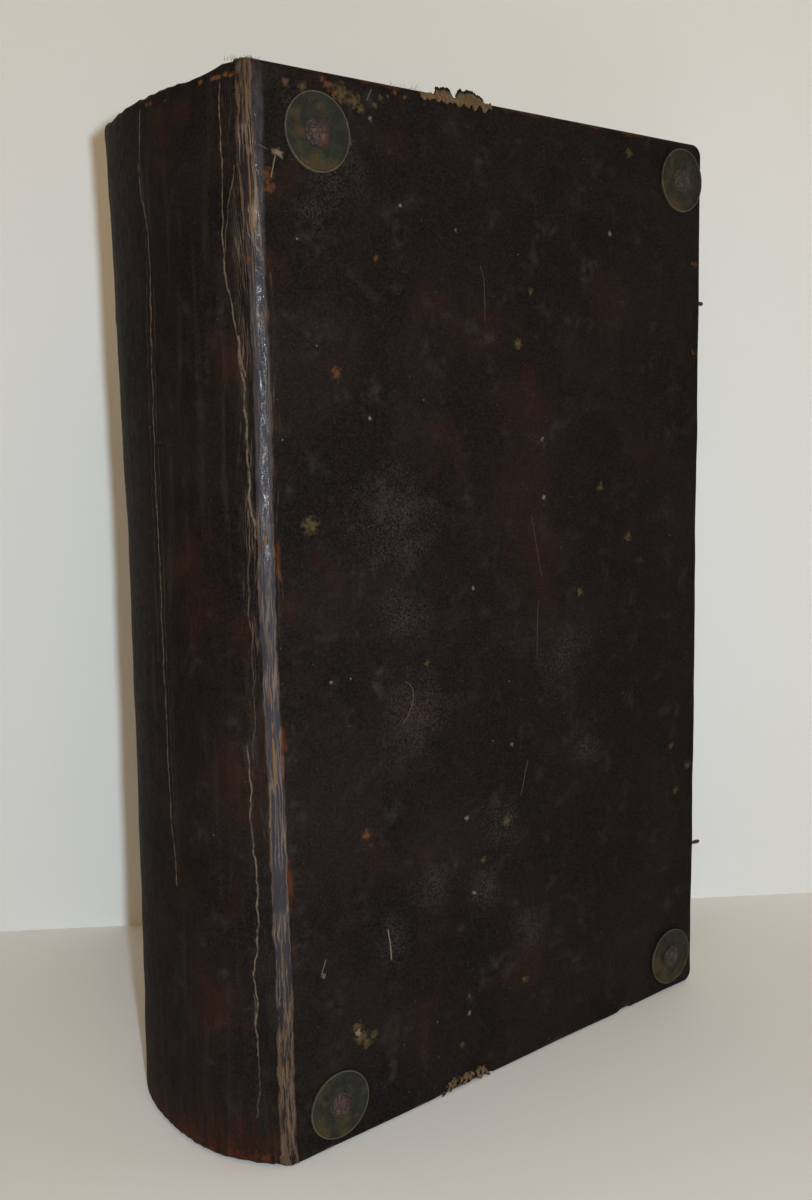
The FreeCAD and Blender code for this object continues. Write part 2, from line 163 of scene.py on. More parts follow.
class BookStudio(PropertyGroup):
    """Floor, wall and lamps."""

    wall: colour("Wall", "#e2e2de", "Paint of the wall")
    floor: colour("Floor", "#f0f0f0", "Top of the table")
    world: colour("Room", "#9c8058", "Light of the room")
    key_power: FloatProperty(name="Key", description="Key lamp", default=4.9, min=0.0, unit="POWER")
    fill_power: FloatProperty(name="Fill", description="Fill", default=5.0, min=0.0, unit="POWER")


# Nodes and patterns.


def node(tree, kind, links=None, **settings):
    """Adds a node. links maps an input's name or number to a value, a socket or a node."""
    added = tree.nodes.new(kind)
    for name, value in settings.items():
        setattr(added, name, value)
    for key, value in (links or {}).items():
        if isinstance(value, bpy.types.Node):
            value = value.outputs[0]
        if isinstance(value, bpy.types.NodeSocket):
            tree.links.new(value, added.inputs[key])
        else:
            added.inputs[key].default_value = value
    return added


def coats(tree, ground, layers):
    """Lays each (colour, mask) over what is below it and gives the last colour."""
    ground = (*ground, 1.0)
    for paint, mask in layers:
        links = {0: mask, 6: ground, 7: (*paint, 1.0)}
        ground = node(tree, "ShaderNodeMix", links, data_type="RGBA").outputs[2]
    return ground


def combine(tree, operation, first, *others):
    """Runs one arithmetic operation through a row of values."""
    for other in others:
        first = node(tree, "ShaderNodeMath", {0: first, 1: other}, operation=operation)
    return first


def patches(tree, where, size, low, high, detail=3.0, stretch=(1.0, 1.0, 1.0), warp=0.0):
    """Soft-edged patches about size wide: 0 where the noise is below low, 1 above high."""
    if stretch != (1.0, 1.0, 1.0):
        where = node(tree, "ShaderNodeMapping", {"Vector": where, "Scale": stretch})
    links = {"Vector": where, "Scale": 1 / size, "Detail": detail, "Distortion": warp}
    noise = node(tree, "ShaderNodeTexNoise", links)
    links = {"Value": noise, "From Min": low, "From Max": high}
    return node(tree, "ShaderNodeMapRange", links, interpolation_type="SMOOTHSTEP")


def specks(tree, where, pitch, radius, share):
    """Round specks of a radius, at most one in each cell of the pitch, in a share of the cells."""
    cells = node(tree, "ShaderNodeTexVoronoi", {"Vector": where, "Scale": 1 / pitch})
    links = {"Value": cells, "From Min": radius / pitch, "From Max": 0.5 * radius / pitch}
    spot = node(tree, "ShaderNodeMapRange", links)
    lot = node(tree, "ShaderNodeSeparateColor", {0: cells.outputs["Color"]})
    chosen = node(tree, "ShaderNodeMath", {0: lot, 1: share}, operation="LESS_THAN")
    return combine(tree, "MULTIPLY", spot, chosen)


def crackle(tree, where, cell, width, stretch, warp):
    """Net of cracks: lines of a width between cells, drawn out along the stretch."""
    shift = node(tree, "ShaderNodeTexNoise", {"Vector": where, "Scale": 1 / (3 * cell)})
    bent = node(
        tree, "ShaderNodeVectorMath",
        {0: shift.outputs["Color"], 1: (0.5, 0.5, 0.5)}, operation="SUBTRACT",
    )
    bent = node(tree, "ShaderNodeVectorMath", {0: bent, "Scale": warp * cell}, operation="SCALE")
    bent = node(tree, "ShaderNodeVectorMath", {0: where, 1: bent}, operation="ADD")
    scaled = node(tree, "ShaderNodeMapping", {"Vector": bent, "Scale": stretch})
    links = {"Vector": scaled, "Scale": 1 / cell}
    edge = node(tree, "ShaderNodeTexVoronoi", links, feature="DISTANCE_TO_EDGE")
    links = {"Value": edge, "From Min": width / cell, "From Max": 0.3 * width / cell}
    return node(tree, "ShaderNodeMapRange", links)


def profile(tree, value, stops):
    """Curve through (place, strength) stops, places running from 0 to 1."""
    curve = node(tree, "ShaderNodeFloatCurve", {"Value": value})
    curve.mapping.extend = "HORIZONTAL"
    points = curve.mapping.curves[0].points
    while len(points) < len(stops):
        points.new(0.5, 0.5)
    for point, stop in zip(points, sorted(stops)):
        point.location = stop
        point.handle_type = "AUTO_CLAMPED"
    curve.mapping.update()
    return curve


def finish_material(name, build):
    """New material whose surface is what build makes from its node tree."""
    material = bpy.data.materials.new(name)
    material.use_nodes = True
    tree = material.node_tree
    tree.nodes.clear()
    output = node(tree, "ShaderNodeOutputMaterial")
    tree.links.new(build(tree).outputs[0], output.inputs["Surface"])
    return material


# Meshes.


def smoothstep(value, low, high):
    """0 below low, 1 above high, with a smooth rise between."""
    share = np.clip((value - low) / (high - low), 0.0, 1.0)
    return share * share * (3 - 2 * share)


def ripple(points, wavelength, seed, count=24):
    """Random heights of unit spread: a sum of cosine waves in random directions."""
    rng = np.random.default_rng(seed)
    directions = rng.normal(size=(points.shape[-1], count))
    directions /= np.linalg.norm(directions, axis=0)
    pitch = wavelength * rng.uniform(0.7, 1.6, count)
    phase = rng.uniform(0, 2 * np.pi, count)
    waves = np.cos(points @ (directions * 2 * np.pi / pitch) + phase)
    return waves.sum(axis=-1) / math.sqrt(count / 2)


def grid_faces(columns, rows, close_columns=False, close_rows=False):
    """Quads of a grid of points stored column by column."""
    i = np.arange(columns if close_columns else columns - 1)[:, None]
    j = np.arange(rows if close_rows else rows - 1)[None, :]
    next_i, next_j = (i + 1) % columns, (j + 1) % rows
    corners = [i * rows + j, next_i * rows + j, next_i * rows + next_j, i * rows + next_j]
    return np.stack(np.broadcast_arrays(*corners), axis=-1).reshape(-1, 4)


def add_piece(name, points, faces, material, uv=None, values=None, smooth=True):
    """Mesh object from an array of points, rows of corner numbers, and values at the points."""
    mesh = bpy.data.meshes.new(name)
    rows = [row for group in faces for row in np.asarray(group).tolist()]
    mesh.from_pydata(np.asarray(points, float).reshape(-1, 3).tolist(), [], rows)
    if uv is not None:
        corner = np.zeros(len(mesh.loops), np.int32)
        mesh.loops.foreach_get("vertex_index", corner)
        layer = mesh.uv_layers.new(name="surface")
        layer.data.foreach_set("uv", uv.reshape(-1, 2)[corner].astype(np.float32).ravel())
    for key, value in (values or {}).items():
        kind, field = ("FLOAT_VECTOR", "vector") if value.shape == points.shape else ("FLOAT", "value")
        attribute = mesh.attributes.new(key, kind, "POINT")
        attribute.data.foreach_set(field, value.astype(np.float32).ravel())
    mesh.polygons.foreach_set("use_smooth", np.full(len(mesh.polygons), smooth))
    mesh.materials.append(material)
    mesh.validate()
    edge = np.zeros(len(mesh.loops), np.int32)
    mesh.loops.foreach_get("edge_index", edge)
    border = np.bincount(edge, minlength=len(mesh.edges)) == 1
    mesh.attributes.new("sharp_edge", "BOOLEAN", "EDGE").data.foreach_set("value", border)
    piece = bpy.data.objects.new(name, mesh)
    bpy.context.scene.collection.objects.link(piece)
    return piece


def thicken(piece, thickness, offset=-1.0):
    """Gives an open surface its thickness, inwards unless the offset says otherwise."""
    modifier = piece.modifiers.new("Thickness", "SOLIDIFY")
    modifier.thickness = thickness
    modifier.offset = offset
    return piece


def steps(*runs):
    """Places along a line: each run is (start, stop, spacing), and the runs join."""
    rows = [np.linspace(a, b, max(2, round((b - a) / gap) + 1))[:-1] for a, b, gap in runs]
    return np.concatenate(rows + [[runs[-1][1]]])


def bulge(z):
    """How far the round back stands behind the joints: even at the head, fuller to the tail."""
    fold = 30 * MM
    return 13 * MM + 0.0385 * fold * np.log1p(np.exp((265 * MM - z) / fold))


def back_x(y, z):
    """The back's plan: the bulge less the share of y to a power, squarer towards the tail."""
    power = 2.15 + 0.35 * np.clip(1 - z / HEIGHT, 0, 1)
    return -bulge(z) * (1 - np.abs(np.clip(y / HALF, -1, 1)) ** power)


def skin_plan(across, z, rounding):
    """Plan of the front skin, rounded at the ridge.

    across is the distance from the joint along the cover, or, where negative, how far round
    the back the point lies, measured in y. Each point is the mean of nine points of the sharp
    plan over the rounding's width to each side, which turns the corner into a smooth bend.
    """
    near = across[..., None] + rounding * np.linspace(-1, 1, 9)
    on_back = near < 0
    y = np.where(on_back, -HALF - near, -HALF)
    x = np.where(on_back, back_x(y, z[..., None]), near)
    return x.mean(axis=-1), y.mean(axis=-1)


def edge_path(sizes, count):
    """Section of a cover's edge as (inset, depth): flat, round, down, round, turned in."""
    bend = np.linspace(0, np.pi / 2, 9)
    outer, inner = sizes.edge_rounding, 0.8 * MM
    start = [[sizes.corner_radius, 0.0]]
    over = np.stack([outer * (1 - np.sin(bend)), outer * (1 - np.cos(bend))], axis=1)
    under = np.stack([inner * (1 - np.cos(bend)), COVER_DEPTH - inner * (1 - np.sin(bend))], axis=1)
    end = [[sizes.turn_in, COVER_DEPTH]]
    return resample(np.concatenate([start, over, under, end]), count)


def cap_path(sizes, count):
    """Section of the spine's head or tail as (inset, depth): flat, round, turned in a little."""
    bend = np.linspace(0, np.pi / 2, 9)
    outer = 2.6 * MM
    over = np.stack([outer * (1 - np.sin(bend)), outer * (1 - np.cos(bend))], axis=1)
    return resample(
        np.concatenate([[[sizes.corner_radius, 0.0]], over, [[0.2 * MM, sizes.cap_reach]]]), count
    )


def resample(path, count):
    """count points of a polyline, closer together where it bends."""
    runs = np.linalg.norm(np.diff(path, axis=0), axis=1)
    weight = np.concatenate([[0], np.cumsum(runs**0.6)])
    share = np.linspace(0, weight[-1], count)
    return np.stack([np.interp(share, weight, path[:, 0]), np.interp(share, weight, path[:, 1])], 1)


# Torn places along the covers' tail edge: start, stop and depth from the joint.
NOTCHES = ((73.5 * MM, 102 * MM, 3.2 * MM), (182 * MM, 192 * MM, 0.9 * MM))


def skin(sizes, side):
    """One half of the skin: from the middle of the back over the ridge and round a board.

    A grid is laid flat: columns run round the back and over the cover, rows from tail to head.
    Extra rings outside the cover's three free edges follow the edge's section, and where a
    ring turns a corner its points fan out round the corner's centre. Each point goes inwards
    by its depth from the plan above.
    """
    rings = 19
    corner = sizes.corner_radius
    across = steps(
        (-HALF, -12 * MM, 1.3 * MM), (-12 * MM, 0, 0.5 * MM), (0, 12 * MM, 0.55 * MM),
        (12 * MM, WIDTH - corner, 3.3 * MM),
    )
    share = steps((0, 0.05, 0.0042), (0.05, 0.93, 0.0056), (0.93, 1, 0.0036))
    columns = np.concatenate([across, np.full(rings, across[-1])])
    ring_i = np.concatenate([np.zeros(len(across)), np.arange(1, rings + 1)])
    shares = np.concatenate([np.zeros(rings), share, np.ones(rings)])
    ring_j = np.concatenate(
        [-np.arange(rings, 0, -1), np.zeros(len(share)), np.arange(1, rings + 1)]
    )
    a, v = np.meshgrid(columns, shares, indexing="ij")
    ri, rj = np.meshgrid(ring_i, ring_j, indexing="ij")
    ring = np.maximum(ri, np.abs(rj)).astype(int)

    on_cover = smoothstep(a, -6 * MM, 0.0)
    shift = 0.17 if side == "back" else 0.0
    round_back = ((a + HALF) * -SIDES[side])[..., None]
    along = np.stack([a + shift, a * 0 + shift], axis=-1)
    dip = sizes.cap_dip * smoothstep(-a, 4 * MM, 24 * MM)
    head = HEIGHT - dip - np.abs(ripple(round_back, 16 * MM, 5)) * 0.35 * MM * (1 - on_cover)
    tail = np.abs(ripple(round_back, 11 * MM, 6)) * 0.3 * MM
    tail += np.abs(ripple(round_back, 30 * MM, 7)) * 0.12 * MM
    tail *= 1 - on_cover
    if side == "front":
        for start, stop, depth in NOTCHES:
            ragged = 1 + 0.22 * ripple(along, 5 * MM, 8)
            inside = smoothstep(a, start, start + 3 * MM) * (1 - smoothstep(a, stop - 3 * MM, stop))
            tail += depth * ragged * inside
    tail += 0.08 * MM
    base_z = tail + corner + v * (head - tail - 2 * corner)

    square = np.minimum(ri, np.abs(rj)) / np.maximum(ring, 1)
    angle = np.where(ri >= np.abs(rj), square, 2 - square) * np.pi / 4
    out_a = np.where(ri > 0, np.cos(angle), 0.0)
    out_z = np.where(rj != 0, np.sin(angle), 0.0) * np.sign(rj)

    edge, cap = edge_path(sizes, rings + 1), cap_path(sizes, rings + 1)
    reach = corner - edge[ring, 0]
    turned = np.where(
        edge[ring, 1] > COVER_DEPTH - 0.1 * MM,
        np.clip((edge[ring, 0] - 0.8 * MM) / (sizes.turn_in - 0.8 * MM), 0, 1), 0,
    )
    rim_a, rim_z = a + out_a * (corner - 0.8 * MM), base_z + out_z * (corner - 0.8 * MM)
    in_a = np.clip(a + out_a * corner, None, WIDTH - sizes.turn_in)
    in_z = np.clip(base_z + out_z * corner, sizes.turn_in, HEIGHT - sizes.turn_in)
    in_z = np.where(
        (rj == 0) & (ri > 0), np.clip(base_z, sizes.turn_in, HEIGHT - sizes.turn_in), in_z
    )
    edge_a = np.where(turned > 0, rim_a + (in_a - rim_a) * turned, a + out_a * reach)
    edge_z = np.where(turned > 0, rim_z + (in_z - rim_z) * turned, base_z + out_z * reach)
    cap_z = base_z + out_z * (corner - cap[ring, 0])
    place = np.where(ring > 0, edge_a * on_cover + a * (1 - on_cover), a)
    z = np.where(ring > 0, edge_z * on_cover + cap_z * (1 - on_cover), base_z)
    depth = np.where(ring > 0, edge[ring, 1] * on_cover + cap[ring, 1] * (1 - on_cover), 0.0)

    level = np.clip(z, 0, HEIGHT)
    x, y = skin_plan(place, level, sizes.ridge_rounding)
    ahead_x, ahead_y = skin_plan(place + 0.4 * MM, level, sizes.ridge_rounding)
    behind_x, behind_y = skin_plan(place - 0.4 * MM, level, sizes.ridge_rounding)
    run_x, run_y = ahead_x - behind_x, ahead_y - behind_y
    size = np.hypot(run_x, run_y)
    out_x, out_y = run_y / size, -run_x / size

    # Waves in the surface, then the depth, which goes straight in under a cover.
    rest = np.stack([JOINT_X + x, y * -SIDES[side], z], axis=-1)
    flat = np.stack([place + shift, z], axis=-1)
    wave = sizes.skin_wave * (ripple(rest, 70 * MM, 1) + 0.45 * ripple(rest, 24 * MM, 2))
    ridge = np.exp(-((place / (7 * MM)) ** 2))
    drawn = flat * np.array([3.0, 1.0])
    wave = wave + ridge * 0.09 * MM * (ripple(drawn, 12 * MM, 3) + ripple(drawn, 5 * MM, 4))
    face = np.exp(-np.maximum(depth - 1 * MM, 0) / (1 * MM))
    lift = np.minimum(wave - 0.3 * MM, 0.05 * MM) * face
    in_x, in_y = -out_x * (1 - on_cover), -out_y * (1 - on_cover) + on_cover
    x = JOINT_X + x + out_x * lift + in_x * depth
    y = y + out_y * lift + in_y * depth

    turn = np.hypot(np.diff(x, axis=0), np.diff(y, axis=0))
    run = np.concatenate([np.zeros((1, x.shape[1])), np.cumsum(turn, axis=0)])
    start = np.argmin(np.abs(across))
    run = run - run[start]
    middle = rings + len(share) // 2
    run[:, np.abs(ring_j) > 0] = run[:, middle][:, None]
    rolled = np.concatenate([[0], np.cumsum(np.linalg.norm(np.diff(edge, axis=0), axis=1))])
    uv = np.stack([run, base_z + out_z * rolled[ring] * (ring > 0)], axis=-1)
    from_edge = np.minimum(np.minimum(head - z, z - tail), np.where(a < 0, 1.0, WIDTH - place))
    rim = np.exp(-np.maximum(from_edge - 1.2 * MM, 0) / (2.2 * MM)) * np.exp(-depth / (5 * MM))

    points = np.stack([x, y * -SIDES[side], z], axis=-1)
    faces = grid_faces(*a.shape)
    if side == "back":
        faces = faces[:, ::-1]
    return points, faces, uv, {"rim": rim, "rest": rest}


# Marks on the front cover, in millimetres from the joint and from the tail, with a radius.
OCHRE_SPOTS = (
    (18.7, 243.7, 2.4), (121.8, 309.6, 1.6), (187.6, 226.4, 1.5), (71.0, 185.7, 1.0),
    (113.2, 111.6, 1.9), (169.6, 249.8, 1.4), (157.1, 204.8, 1.4), (99.3, 97.7, 1.1),
    (231.9, 112.1, 1.5), (223.1, 101.4, 1.3), (122.2, 36.9, 1.2), (187.5, 391.0, 1.4),
    (40.4, 378.1, 1.5), (129.1, 330.7, 1.0), (86.0, 19.6, 1.0), (219.0, 124.0, 1.1),
    (32.6, 46.0, 1.8), (34.6, 41.5, 2.2), (37.0, 38.0, 1.6), (40.5, 40.5, 1.3),
    (38.0, 393.4, 2.6), (43.0, 392.0, 2.2), (46.0, 389.5, 1.2), (52.5, 391.5, 0.8),
    (55.0, 394.5, 0.9), (15.0, 394.0, 1.2), (22.0, 393.5, 1.3), (26.0, 390.0, 1.0),
)
ORANGE_SPOTS = (
    (32.2, 297.3, 1.7), (39.7, 122.9, 1.5), (6.2, 363.0, 1.6), (6.9, 359.0, 1.6),
    (51.0, 338.5, 1.0), (-1.6, 334.5, 0.9), (90.0, 40.0, 0.8), (32.5, 395.4, 1.3),
    (35.5, 393.4, 1.2), (30.5, 397.2, 1.0), (62.0, 397.2, 0.8), (66.5, 396.4, 0.7),
    (58.5, 395.5, 0.6), (236.0, 307.6, 1.3), (232.0, 308.0, 0.9),
    (233.0, 347.5, 0.9), (230.5, 347.7, 0.7),
)
PALE_SPOTS = (
    (10.3, 370.9, 1.1), (11.8, 370.2, 1.0), (63.0, 358.1, 0.6), (89.3, 351.3, 0.6),
    (135.4, 247.0, 0.8), (90.3, 118.0, 0.8), (93.5, 84.8, 0.8), (50.3, 386.5, 0.8),
    (175.8, 357.0, 0.8), (90.2, 32.5, 0.8), (33.0, 43.5, 1.3), (25.4, 184.8, 0.6),
    (95.5, 212.9, 0.6), (46.7, 281.2, 0.6), (14.7, 377.5, 0.8), (17.7, 72.4, 0.7),
    (134.7, 271.2, 0.7), (115.9, 144.5, 0.7),
)
BLOOM_SPOTS = (
    (57.5, 242.5, 10.0), (61.3, 161.3, 8.0), (66.0, 169.0, 8.0), (71.0, 93.0, 5.0),
    (126.6, 57.3, 6.0), (110.0, 112.0, 6.0), (50.0, 76.0, 5.0), (60.0, 206.0, 6.0),
    (146.0, 178.0, 8.0), (32.0, 368.0, 7.0), (24.0, 353.0, 4.0), (22.0, 384.0, 5.0),
    (160.0, 135.0, 5.0), (100.0, 85.0, 5.0),
)
RED_SPOTS = (
    (122.0, 251.0, 17.0), (118.0, 285.0, 12.0), (130.0, 222.0, 12.0), (105.0, 312.0, 9.0),
    (59.4, 242.7, 7.0), (62.0, 168.4, 8.0), (128.5, 60.4, 7.0), (169.6, 329.0, 9.0),
    (195.7, 264.8, 7.0), (9.0, 215.0, 3.5), (11.5, 188.0, 3.5), (8.5, 225.0, 2.0),
)
# The same on the back, in millimetres from the middle of the book and from the tail.
BACK_REDS = (
    (-16.5, 388.0, 3.0), (-16.0, 380.0, 3.4), (-15.5, 372.0, 3.0), (-30.0, 386.5, 2.6),
    (-27.0, 387.0, 2.4), (-20.3, 231.0, 8.0), (-30.4, 210.0, 8.0), (-46.0, 300.0, 6.0),
    (-42.0, 150.0, 8.0), (-30.0, 60.0, 9.0), (-44.0, 205.0, 5.0),
)
BACK_ORANGE = (
    (-38.0, 396.6, 0.8), (-43.5, 396.4, 0.8), (-45.5, 396.0, 1.0), (-48.0, 396.4, 1.0),
    (-50.5, 395.6, 1.1), (-8.0, 394.5, 0.9), (-10.6, 394.8, 0.8), (-20.0, 393.0, 0.6),
)
# Thin lines through (height, place) in millimetres, the place measured from the joint on the
# cover and from the middle on the back, each with a width and a strength.
COVER_SCRATCHES = (
    (((81.8, 48.5), (75.0, 49.6), (68.8, 50.0)), 0.35, 0.85),
    (((204.0, 131.7), (190.0, 131.0), (178.4, 130.9)), 0.2, 0.3),
    (((339.0, 101.7), (330.0, 104.0), (318.0, 103.9)), 0.25, 0.25),
    (((78.5, 18.9), (73.1, 16.8)), 0.3, 0.6),
    (((240.0, 128.0), (214.0, 134.0)), 0.2, 0.25),
    (((135.7, 125.1), (121.0, 120.8)), 0.25, 0.35),
    (((372.4, 1.0), (371.2, 9.5)), 0.3, 0.8),
    (((369.6, 9.8), (365.0, 8.6), (362.0, 7.6)), 0.35, 0.7),
    (((396.8, 51.4), (392.7, 48.8)), 0.3, 0.4),
    (((180.0, 60.0), (176.0, 64.0), (168.0, 62.0), (163.0, 58.5)), 0.3, 0.3),
)
BACK_LINES = (
    (((394.0, -3.0), (369.0, 0.6), (347.0, -3.4), (315.0, -2.3), (253.0, -0.3), (215.0, -2.3),
      (176.0, -3.9), (137.0, -6.2), (104.0, -10.0)), 0.5, 0.6),
    (((392.0, 0.4), (360.0, -1.6), (300.0, 1.6), (240.0, 2.8), (190.0, 1.2)), 0.26, 0.28),
    (((330.0, -5.6), (280.0, -3.4), (230.0, -4.2), (180.0, -6.5), (128.0, -9.5)), 0.26, 0.28),
    (((393.0, -45.6), (362.0, -45.3), (339.0, -44.2), (325.0, -45.9), (312.0, -48.1),
      (296.0, -51.5)), 0.42, 0.6),
    (((366.0, -50.5), (352.0, -47.2), (338.0, -44.8)), 0.3, 0.35),
    (((165.0, -46.8), (147.0, -47.3), (107.0, -48.7), (68.0, -47.0), (45.0, -47.2)), 0.42, 0.6),
    (((250.0, -50.5), (225.0, -49.2), (195.0, -50.0), (160.0, -49.0)), 0.3, 0.25),
    (((310.0, -49.0), (285.0, -50.6), (262.0, -51.0), (240.0, -52.3)), 0.55, 0.6),
    (((70.0, -46.0), (40.0, -47.6), (20.0, -46.5)), 0.3, 0.3),
)
# The ridge's own wandering line, measured from the joint.
RIDGE_LINE = (
    (395.0, -1.1), (370.0, -1.3), (354.0, -0.5), (334.5, 0.8), (321.0, 1.4), (288.0, 1.3),
    (254.0, 0.5), (219.0, 0.0), (183.0, -0.1), (145.5, 0.7), (108.0, 0.2), (68.5, 0.6),
    (29.0, -0.3), (2.0, 0.2),
)


def blots(tree, flat, marks, ragged, soft=0.7):
    """Uneven spots at listed places in the plane: the strength of the strongest one."""
    found = 0.0
    for u, v, radius in marks:
        links = {0: flat, 1: (u * MM, v * MM, 0.0)}
        away = node(tree, "ShaderNodeVectorMath", links, operation="DISTANCE").outputs["Value"]
        links = {0: ragged, 1: 4.5 * radius * MM, 2: away}
        away = node(tree, "ShaderNodeMath", links, operation="MULTIPLY_ADD")
        links = {
            "Value": away, "From Min": (3.15 + soft) * radius * MM, "From Max": (3.15 - soft) * radius * MM,
        }
        found = combine(tree, "MAXIMUM", found, node(tree, "ShaderNodeMapRange", links))
    return found


def course(tree, up, places):
    """A line's place across at each height, through (height, place) points in millimetres."""
    span = 512 * MM
    line = profile(tree, up, sorted((z * MM / HEIGHT, 0.5 + x * MM / span) for z, x in places))
    links = {0: line, 1: span, 2: -0.5 * span}
    return node(tree, "ShaderNodeMath", links, operation="MULTIPLY_ADD")


def traces(tree, place, up, lines):
    """Thin lines that each run up through listed places and end at the outer ones."""
    found = 0.0
    for places, width, strength in lines:
        away = combine(tree, "SUBTRACT", place, course(tree, up, places))
        away = node(tree, "ShaderNodeMath", {0: away}, operation="ABSOLUTE")
        links = {
            "Value": away, "From Min": width * MM, "From Max": 0.3 * width * MM, "To Max": strength
        }
        line = node(tree, "ShaderNodeMapRange", links)
        heights = sorted(z * MM / HEIGHT for z, x in places)
        low = node(tree, "ShaderNodeMath", {0: up, 1: heights[0]}, operation="GREATER_THAN")
        high = node(tree, "ShaderNodeMath", {0: up, 1: heights[-1]}, operation="LESS_THAN")
        found = combine(tree, "MAXIMUM", found, combine(tree, "MULTIPLY", line, low, high))
    return found


def band(tree, value, low, high, soft):
    """1 where the value lies between low and high, fading over soft to each side."""
    links = {"Value": value, "From Min": low - soft, "From Max": low + soft}
    rise = node(tree, "ShaderNodeMapRange", links, interpolation_type="SMOOTHSTEP")
    links = {"Value": value, "From Min": high + soft, "From Max": high - soft}
    fall = node(tree, "ShaderNodeMapRange", links, interpolation_type="SMOOTHSTEP")
    return combine(tree, "MULTIPLY", rise, fall)


def heights(*stops):
    """Stops of a profile over the book's height, given as (millimetres, strength)."""
    return [(z * MM / HEIGHT, strength) for z, strength in stops]


def leather_material(name, colours, side):
    """Calf over boards, blackened with age.

    Dressing and handling left it nearly black and hardly glossy, with reddish-brown clouds where
    the dressing thinned and a grey dusty bloom. Along the ridge the skin is rubbed smooth and
    shiny near the head, where the shiny band is also painted lighter grey as a painted sheen,
    and split into strands of bare tan flesh side below.
    """

    def build(tree):
        front = side == "front"
        uv = node(tree, "ShaderNodeUVMap", uv_map="surface").outputs["UV"]
        place = node(tree, "ShaderNodeSeparateXYZ", {0: uv})
        u, v = place.outputs["X"], place.outputs["Y"]
        rest = node(tree, "ShaderNodeAttribute", attribute_name="rest").outputs["Vector"]
        rest_y = node(tree, "ShaderNodeSeparateXYZ", {0: rest}).outputs["Y"]
        rim = node(tree, "ShaderNodeAttribute", attribute_name="rim").outputs["Fac"]
        up = node(tree, "ShaderNodeMath", {0: v, 1: HEIGHT}, operation="DIVIDE")
        on_back = node(
            tree, "ShaderNodeMapRange", {"Value": u, "From Min": 1 * MM, "From Max": -2 * MM}
        )

        # Clouds and dirt over the whole skin.
        ragged = node(
            tree, "ShaderNodeTexNoise", {"Vector": rest, "Scale": 1 / (1.6 * MM), "Detail": 4.0}
        )
        loose = node(
            tree, "ShaderNodeTexNoise", {"Vector": rest, "Scale": 1 / (9 * MM), "Detail": 6.0}
        )
        brown = patches(tree, rest, 55 * MM, 0.4, 0.7, detail=8.0, warp=0.6)
        red = patches(tree, rest, 30 * MM, 0.52, 0.75, detail=8.0, warp=0.8)
        bloom = patches(tree, rest, 14 * MM, 0.5, 0.8, detail=10.0, warp=0.4)
        mottle = patches(tree, rest, 3.4 * MM, 0.35, 0.75, detail=6.0)
        grain = patches(tree, rest, 0.9 * MM, 0.35, 0.7, detail=4.0)
        streak = patches(tree, rest, 4 * MM, 0.5, 0.75, detail=6.0, stretch=(1.0, 1.0, 0.1))
        lot = patches(tree, rest, 26 * MM, 0.4, 0.6, detail=3.0)
        pale = combine(tree, "MULTIPLY", specks(tree, rest, 8 * MM, 0.5 * MM, 0.3), lot)
        tiny = specks(tree, rest, 3.4 * MM, 0.24 * MM, 0.4)

        # Across the ridge: the distance from its line, and strands that follow it.
        across = combine(tree, "SUBTRACT", u, course(tree, up, RIDGE_LINE))
        squat = node(tree, "ShaderNodeMapping", {"Vector": uv, "Scale": (1.0, 0.5, 1.0)})
        bend = node(
            tree, "ShaderNodeTexNoise",
            {"Vector": squat, "Scale": 1 / (5 * MM), "Detail": 5.0, "Roughness": 0.6},
        )
        bend = node(tree, "ShaderNodeMath", {0: bend, 1: 0.5}, operation="SUBTRACT")
        bent = node(
            tree, "ShaderNodeMath", {0: bend, 1: 2.6 * MM, 2: across}, operation="MULTIPLY_ADD"
        )
        off = node(tree, "ShaderNodeMath", {0: bent}, operation="ABSOLUTE")
        inside = node(
            tree, "ShaderNodeMapRange", {"Value": off, "From Min": 3.5 * MM, "From Max": 2.7 * MM},
        )
        drawn = node(
            tree, "ShaderNodeCombineXYZ", {0: bent, 1: combine(tree, "MULTIPLY", v, 0.035)}
        )
        strand = node(
            tree, "ShaderNodeTexVoronoi", {"Vector": drawn, "Scale": 1 / (1.25 * MM)},
            feature="DISTANCE_TO_EDGE", voronoi_dimensions="2D",
        )
        strand = node(
            tree, "ShaderNodeMapRange", {"Value": strand, "From Min": 0.17, "From Max": 0.06}
        )
        hair = node(
            tree, "ShaderNodeTexVoronoi", {"Vector": drawn, "Scale": 1 / (0.8 * MM)},
            feature="DISTANCE_TO_EDGE", voronoi_dimensions="2D",
        )
        hair = node(tree, "ShaderNodeMapRange", {"Value": hair, "From Min": 0.12, "From Max": 0.03})
        come = patches(tree, uv, 6 * MM, 0.42, 0.56, detail=4.0, stretch=(1.0, 0.3, 1.0))
        hair_come = patches(tree, uv, 5 * MM, 0.42, 0.6, detail=4.0, stretch=(1.3, 0.2, 1.0))

        split = profile(tree, up, heights(
            (0, 0.5), (60, 0.6), (80, 0.75), (180, 0.7), (245, 0.5), (262, 0.15), (332, 0.15), (345, 1.0), (400, 0.9),
        ))
        split = combine(tree, "MULTIPLY", strand, come, split, inside)
        fine = profile(
            tree, up,
            heights(
                (0, 0.1), (100, 0.15), (170, 0.4), (230, 0.9), (335, 1.0), (372, 0.3), (400, 0.2)
            )
        )
        left = band(tree, across, -9 * MM, -1 * MM, 3 * MM)
        right = band(tree, across, 3 * MM, 6 * MM, 2 * MM)
        reach = combine(tree, "ADD", left, combine(tree, "MULTIPLY", right, 0.5))
        reach = combine(tree, "MAXIMUM", reach, combine(tree, "MULTIPLY", inside, 0.8))
        hair = combine(tree, "MULTIPLY", hair, hair_come, fine, reach)

